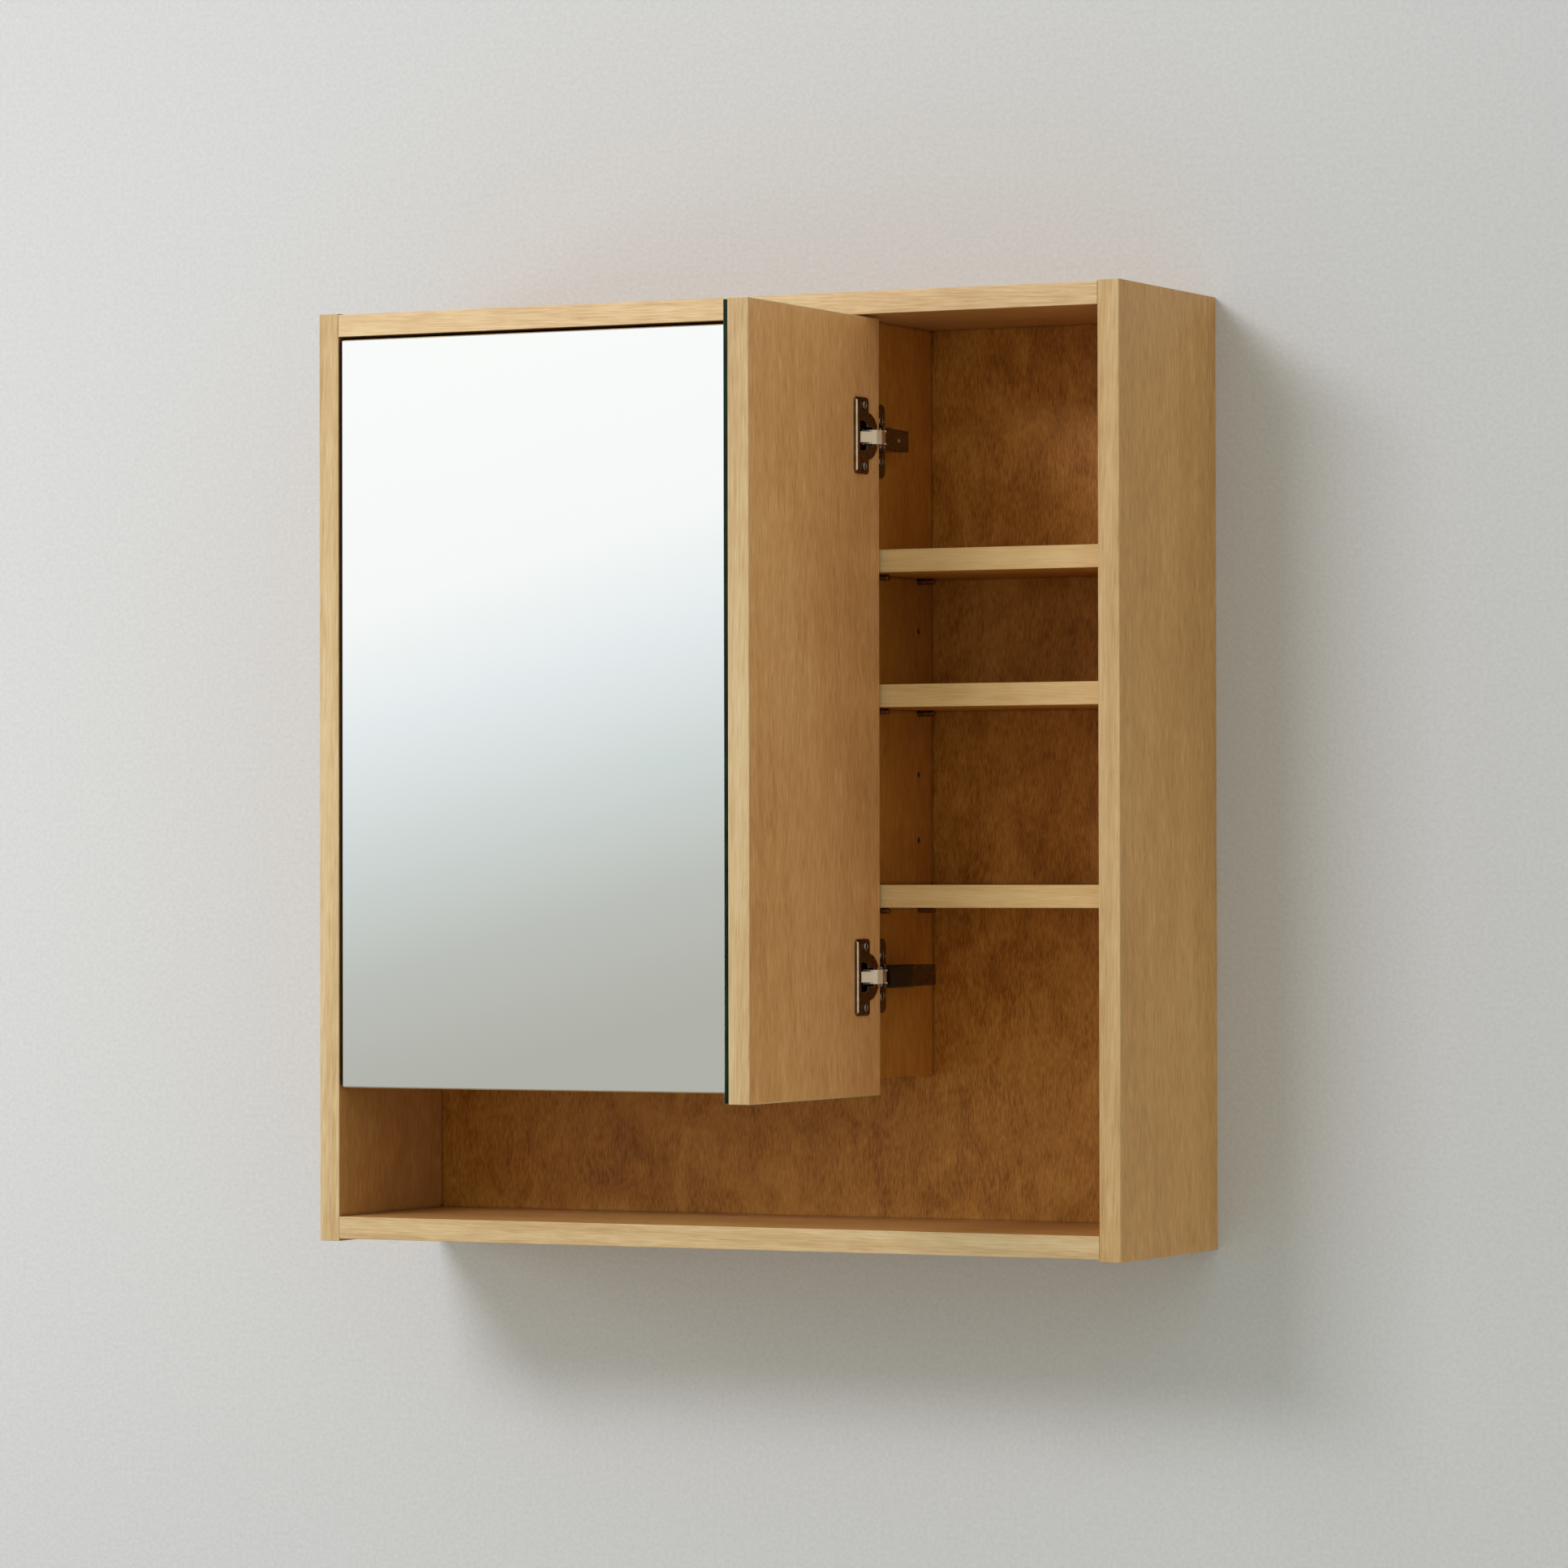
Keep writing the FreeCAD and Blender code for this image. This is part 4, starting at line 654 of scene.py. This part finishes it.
HINGES = [f"{side}_{level}" for side in ("right", "left") for level in ("upper", "lower")]
DARK_PARTS = ("hinge_cup", "inner_link", "hinge_arm", "mounting_plate")
SCREW_NODES = {"hinge_plate_screws": "cabinet", "right_cup_screws": "right_door",
               "left_cup_screws": "left_door"}
dress(black_nickel, *[f"{hinge}_{part}" for hinge in HINGES for part in DARK_PARTS], *SCREW_NODES)
dress(bright_nickel, *[f"{hinge}_outer_link" for hinge in HINGES])
dress(bright_nickel, "right_cup_pins", "left_cup_pins", "hinge_arm_pins")
dress(damper_plastic, "right_soft_close_damper", "left_soft_close_damper")
dress(bronzed_steel, "shelf_pins")
dress(soft_button, "door_bumpers")
print("nodes dressed in all:", len(dressed), "of", len(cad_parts))

# %% [markdown]
# ## The cups' beads
#
# Along its outer edge a cup's flange is rolled up into a bead, which catches the light as a bright line.
# That line is painted here. A new bead could be laid on the cup, but the imported model has its shape
# already. So each cup is copied, its triangles are merged, and the faces that stand higher over the door
# than the flange get the brighter finish: a painted highlight.

# %% Paint the beads' highlight

FLANGE = 1.3 * MM      # what stands higher over the door than this belongs to the bead


def copy_of(node, ending):
    """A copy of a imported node, whose loose triangles are merged into one closed skin."""
    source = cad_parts[node]
    copy = bpy.data.objects.new(f"{node}_{ending}", source.data.copy())
    copy.matrix_world = source.matrix_world.copy()
    bpy.context.scene.collection.objects.link(copy)
    settle(copy)
    bpy.ops.object.mode_set(mode="EDIT")
    bpy.ops.mesh.select_all(action="SELECT")
    bpy.ops.mesh.remove_doubles(threshold=SAME_PLACE, use_sharp_edge_from_normals=True)
    bpy.ops.object.mode_set(mode="OBJECT")
    return copy


def highlighted_cup(node, side, axis):
    """A copy of a cup whose highest part over the door's back, along axis, gets a painted highlight."""
    cup = copy_of(node, "highlit")
    cup.data.materials.clear()
    for finish in (black_nickel, highlight_nickel):
        cup.data.materials.append(finish)
    board_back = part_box(f"{side}_door_edge_bands")[1][axis]
    for face in cup.data.polygons:
        # Faces higher over the door than the flange get the bright finish: a painted highlight along the
        # bead.
        face.material_index = int(face.center[axis] > board_back + FLANGE)
    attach(cup, f"{side}_door")
    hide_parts(node)
    return sum(face.material_index for face in cup.data.polygons)


for side, axis in (("right", X), ("left", Y)):
    for level in ("upper", "lower"):
        print(side, level, "bead faces:", highlighted_cup(f"{side}_{level}_hinge_cup", side, axis))

# %% [markdown]
# ## The straps
#
# The outer link is a bright strap between the arm and the cup. Its tongue runs on between the cup's ears
# and is nearly as wide as the strap. A strap could be extruded anew, but only its tongue differs from the
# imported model's. So each strap is copied, and its tongue is spread sideways.

# %% Spread the tongues

TONGUE = 3.2 * MM      # half the tongue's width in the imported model
SPREAD = 4.3 * MM      # half the width it gets here
TONGUE_SLACK = 0.05 * MM


def spread_strap(node, side):
    """A copy of an outer link with a wider tongue."""
    strap = copy_of(node, "strap")
    level = middle(node).z
    moved = 0
    for vertex in strap.data.vertices:
        aside = vertex.co.z - level
        if abs(abs(aside) - TONGUE) < TONGUE_SLACK:
            vertex.co.z = level + math.copysign(SPREAD, aside)
            moved += 1
    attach(strap, f"{side}_outer_links")
    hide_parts(node)
    return moved


for side in ("right", "left"):
    for level in ("upper", "lower"):
        print(side, level, "tongue corners:", spread_strap(f"{side}_{level}_outer_link", side))

# %% [markdown]
# ## Screws
#
# Pan head screws with a cross recess hold the cups and plates, and a set screw sits in each arm. A screw is
# turned from wire: the head is a short cylinder with a round rim, the recess is punched, and the shank is a
# rod. The recess could be drawn by a bump, but a cut one keeps its shadow from every side. One screw of
# each size is modelled upright and copied to the places of the imported model's screws. The rim gets a
# brighter finish: a painted highlight.

# %% Find the imported screws


def solids_of(node):
    """The box of each separate solid in a node's mesh, as pairs of corners."""
    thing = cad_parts[node]
    corners = [thing.matrix_world @ vertex.co for vertex in thing.data.vertices]
    keys = [tuple(round(value, 6) for value in corner) for corner in corners]
    leader = {key: key for key in keys}

    def lead(key):
        while leader[key] != key:
            leader[key] = leader[leader[key]]
            key = leader[key]
        return key

    for edge in thing.data.edges:
        start, end = (lead(keys[index]) for index in edge.vertices)
        leader[start] = end
    groups = {}
    for key in leader:
        groups.setdefault(lead(key), []).append(key)
    boxes = []
    for group in groups.values():
        boxes.append(tuple(Vector([pick(point[axis] for point in group) for axis in (X, Y, Z)])
                           for pick in (min, max)))
    return sorted(boxes)


for node in SCREW_NODES:
    print(node, "holds", len(solids_of(node)))

# %% Model one screw

HEAD_HEIGHT = 1.4 * MM
HEAD_RIM = 0.3 * HEAD_HEIGHT             # radius of the round rim
RECESS_DEPTH = 0.8 * MM
RECESS_REACH, RECESS_SLOT = 0.3, 0.07    # half a slot's length and width, as shares of the head's width
SHANK_RADIUS = 0.25                      # as a share of the head's width
SET_SCREW = 5 * MM                       # a narrower screw has no head, and its whole end gets the painted highlight
RIM_SLOPES, SET_SCREW_SLOPES = (0.2, 0.95), (0.2, 1.01)    # how far up a face with the painted highlight looks


def rod(radius, top, bottom):
    """An upright cylinder between two heights."""
    deselect_all()
    bpy.ops.mesh.primitive_cylinder_add(vertices=32, radius=radius, depth=top - bottom,
                                        location=(0, 0, (top + bottom) / 2))
    settle(bpy.context.object)
    return bpy.context.object


def punch_recess(head, width):
    """Cut the two slots of a cross into a head's top."""
    reach, slot = RECESS_REACH * width, RECESS_SLOT * width
    for across, along in ((reach, slot), (slot, reach)):
        cutter = cuboid("recess", (-across, -along, -RECESS_DEPTH), (across, along, RECESS_DEPTH))
        take(head)
        cut = head.modifiers.new("recess", "BOOLEAN")
        cut.operation = "DIFFERENCE"
        cut.object = cutter
        bpy.ops.object.modifier_apply(modifier=cut.name)
        bpy.data.objects.remove(cutter)


def model_screw(name, width, length):
    """A cross recessed screw along Z whose head's top is at the origin; width is its head's."""
    head = rod(width / 2, 0, -HEAD_HEIGHT)
    ease_edges(head, HEAD_RIM, lies_on(Z, 0), segments=3)
    punch_recess(head, width)
    shank = rod(SHANK_RADIUS * width, -HEAD_HEIGHT, -length)
    take(head)
    shank.select_set(True)
    bpy.ops.object.join()
    head.name = name
    head.data.materials.clear()
    for finish in (black_nickel, highlight_nickel):
        head.data.materials.append(finish)
    # The rim of a head, and the whole end of a set screw, get the bright finish: a painted highlight.
    steepest, flattest = RIM_SLOPES if width > SET_SCREW else SET_SCREW_SLOPES
    for face in head.data.polygons:
        highlighted = steepest < face.normal.z < flattest and face.center.z > -HEAD_HEIGHT
        face.material_index = int(highlighted)
    return head


# %% Copy the screws to their places

TURN_FROM_Z = {X: (0, math.pi / 2, 0), Y: (-math.pi / 2, 0, 0)}
ROUNDNESS = 0.2 * MM   # how much a screw's box may differ from a square, seen along the screw
screws = 0
for node, body in SCREW_NODES.items():
    models = {}
    for low, high in solids_of(node):
        size = high - low
        axis = Y if abs(size.x - size.z) < ROUNDNESS else X
        width, length = size.z, size[axis]
        kind = (round(width / MM, 1), round(length / MM, 1))
        if kind not in models:
            models[kind] = model_screw(f"{node}_model", width, length)
        place = (low + high) / 2
        place[axis] = high[axis]
        screws += 1
        screw = bpy.data.objects.new(f"{node}_{screws}", models[kind].data.copy())
        bpy.context.scene.collection.objects.link(screw)
        screw.location = place
        screw.rotation_euler = TURN_FROM_Z[axis]
        settle(screw)
        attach(screw, body)
        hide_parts(node)
    for model in models.values():
        bpy.data.objects.remove(model)
    print(node, "sizes in mm:", sorted(models))
print("screws:", screws)

# %% [markdown]
# ## Wall and floor
#
# The cabinet hangs on a painted wall. Emulsion over plaster is matt, with a grain of a few millimetres. A
# plane with a fine bump is enough for it. The wall is seen from the front only: from behind it is clear, so
# that the cabinet's back can be looked at.

# %% The wall and the floor

PLASTER_GRAIN = 3.5 * MM


def painted_wall():
    """Matt emulsion over fine plaster, clear when seen from behind."""
    material, tree = new_material("matt_wall_paint")
    place = add(tree, "TexCoord")
    grain = add(tree, "TexNoise", {"Vector": (place, "Object"), "Scale": 1 / PLASTER_GRAIN, "Detail": 3})
    colour = add(tree, "ValToRGB", {0: (grain, 0)})
    set_ramp(colour, ((0.3, "D1D2D2"), (0.7, "D9DADA")))
    bump = add(tree, "Bump", {"Height": (grain, 0), "Strength": 0.5, "Distance": 0.8 * MM})
    paint = add(tree, "BsdfPrincipled", {"Base Color": (colour, 0), "Roughness": 0.85, "Normal": (bump, 0)})
    clear = add(tree, "BsdfTransparent")
    side = add(tree, "NewGeometry")
    finish_material(tree, add(tree, "MixShader", {0: (side, "Backfacing"), 1: (paint, 0), 2: (clear, 0)}))
    return material


def pale_floor():
    """A pale smooth floor with a faint mottle."""
    material, tree = new_material("pale_floor")
    place = add(tree, "TexCoord")
    mottle = add(tree, "TexNoise", {"Vector": (place, "Object"), "Scale": 8, "Detail": 4})
    colour = add(tree, "MixRGB", {"Fac": (mottle, 0), "Color1": linear("C8C6C2"), "Color2": linear("CFCDC9")})
    finish_material(tree, add(tree, "BsdfPrincipled", {"Base Color": (colour, 0), "Roughness": 0.7}))
    return material


ROOM = 9.0               # width of the wall and the floor
FLOOR_DROP = 1.3         # from the cabinet's foot to the floor
WALL_GAP = 0.2 * MM      # keeps the wall clear of the cabinet's back


def stage_plane(name, place, turn, material):
    """A plane of the room's size that belongs to the stage."""
    deselect_all()
    bpy.ops.mesh.primitive_plane_add(size=ROOM, location=place, rotation=turn)
    plane = bpy.context.object
    plane.name = name
    plane.data.materials.append(material)
    settle(plane)
    return plane


wall = stage_plane("wall", (0, cad_high[Y] + WALL_GAP, 0), (math.pi / 2, 0, 0), painted_wall())
wall.visible_shadow = False
floor_place = (0, cad_high[Y] - ROOM / 2, cad_low[Z] - FLOOR_DROP)
floor = stage_plane("floor", floor_place, (0, 0, 0), pale_floor())
print("stage:", wall.name, floor.name)

# %% [markdown]
# ## Lamps
#
# One big soft box up and to the left, four metres away, gives the broad soft shadow at the lower right.
# Alone it would leave the wall at the left too dark, so a weak soft box stands in for a window at the side.
# The rest of the light is the room's, which the world gives.

# %% Place the two soft boxes

centre = (cad_low + cad_high) / 2


def soft_light(name, place, width, height, power, aim=centre):
    """A soft box that looks at the cabinet, or at another aim."""
    lamp = bpy.data.lights.new(name, "AREA")
    lamp.shape = "RECTANGLE"
    lamp.size = width
    lamp.size_y = height
    lamp.energy = power
    box = bpy.data.objects.new(name, lamp)
    box.location = place
    box.rotation_euler = (Vector(aim) - Vector(place)).to_track_quat("-Z", "Y").to_euler()
    bpy.context.scene.collection.objects.link(box)
    return box


key = soft_light("key_softbox", (-1.5, -3.3, 1.67), 1.9, 0.85, 74)
key.data.color = (0.955, 0.92, 1)    # a faintly violet white
window = soft_light("side_window", (-1.6, -0.9, -0.4), 0.5, 0.5, 3.2, aim=(-0.6, 0, -0.4))
print("watts:", [round(lamp.data.energy, 1) for lamp in (key, window)])

# %% [markdown]
# ## The room
#
# Mirrors and metal show the room: a white ceiling that falls off to grey towards the floor, brightest up to
# the left, and a warm wall at the right. Wood and paint only need a soft even fill, a little brighter from
# above. A room could be built round the cabinet, but the world can give each kind of ray its own picture of
# one, so the reflections can be set without a change to the light.

# %% Pictures of the room

world = bpy.data.worlds.new("soft_room")
bpy.context.scene.world = world
world.use_nodes = True
room = world.node_tree
room.nodes.clear()
direction = add(room, "TexCoord")
axes = add(room, "SeparateXYZ", {0: (direction, "Generated")})

UP_AND_LEFT = (-0.35, 0, 1)
rise = add(room, "VectorMath", {0: (direction, "Generated"), 1: UP_AND_LEFT}, operation="DOT_PRODUCT")
shown = add(room, "MapRange", {"Value": (rise, "Value"), "From Min": 0.13, "From Max": 0.25})
gradient = add(room, "ValToRGB", {0: (shown, 0)})
set_ramp(gradient, ((0.07, "B3B2AA"), (0.24, "BFC1BC"), (0.40, "D2D8D7"), (0.56, "E8ECEF"), (0.71, "F9FAFA"),
                    (1.0, "FDFDFD")))
to_the_right = add(room, "MapRange", {"Value": (axes, "X"), "From Min": 0.1, "From Max": 0.7})
walls_seen = add(room, "MixRGB", {"Fac": (to_the_right, 0), "Color1": (gradient, 0),
                                  "Color2": linear("EFEAE2")})
room_view = add(room, "Background", {"Color": (walls_seen, 0), "Strength": 1})

height = add(room, "MapRange", {"Value": (axes, "Z"), "From Min": -1, "From Max": 1})
fill_tone = add(room, "MixRGB", {"Fac": (height, 0), "Color1": linear("C9CFC2"), "Color2": linear("FBFFF4")})
room_fill = add(room, "Background", {"Color": (fill_tone, 0), "Strength": 0.65})
open_view = add(room, "Background", {"Color": linear("E6E5E2"), "Strength": 1})

# %% Give each kind of ray its picture

ray = add(room, "LightPath")
mirrored = add(room, "Math", {0: (ray, "Is Glossy Ray"), 1: (ray, "Is Transmission Ray")},
               operation="MAXIMUM")
with_mirror = add(room, "MixShader", {0: (mirrored, 0), 1: (room_fill, 0), 2: (room_view, 0)})
with_view = add(room, "MixShader", {0: (ray, "Is Camera Ray"), 1: (with_mirror, 0), 2: (open_view, 0)})
add(room, "OutputWorld", {"Surface": (with_view, 0)})
print("world nodes:", len(room.nodes))

# %% [markdown]
# ## Camera
#
# A long lens, five metres away, to the right of the cabinet and a little under its middle, keeps the
# cabinet's edges nearly parallel. Constraints could aim it, but three fixed angles are easier to set again.

# %% Place the camera

lens = bpy.data.cameras.new("camera")
lens.lens = 150.1
lens.sensor_width = 36
lens.clip_end = 60
camera = bpy.data.objects.new("camera", lens)
CAMERA_PLACE = (2.3857, -4.8195, -0.3591)
YAW, PITCH, ROLL = 26.602, 0.692, -0.103
turn = (Matrix.Rotation(math.radians(YAW), 4, "Z") @ Matrix.Rotation(math.radians(90 + PITCH), 4, "X")
        @ Matrix.Rotation(math.radians(ROLL), 4, "Z"))
camera.matrix_world = Matrix.Translation(CAMERA_PLACE) @ turn
bpy.context.scene.collection.objects.link(camera)
bpy.context.scene.camera = camera
bpy.context.scene.view_settings.view_transform = "Standard"
print("camera to cabinet in m:", round((Vector(CAMERA_PLACE) - centre).length, 2))
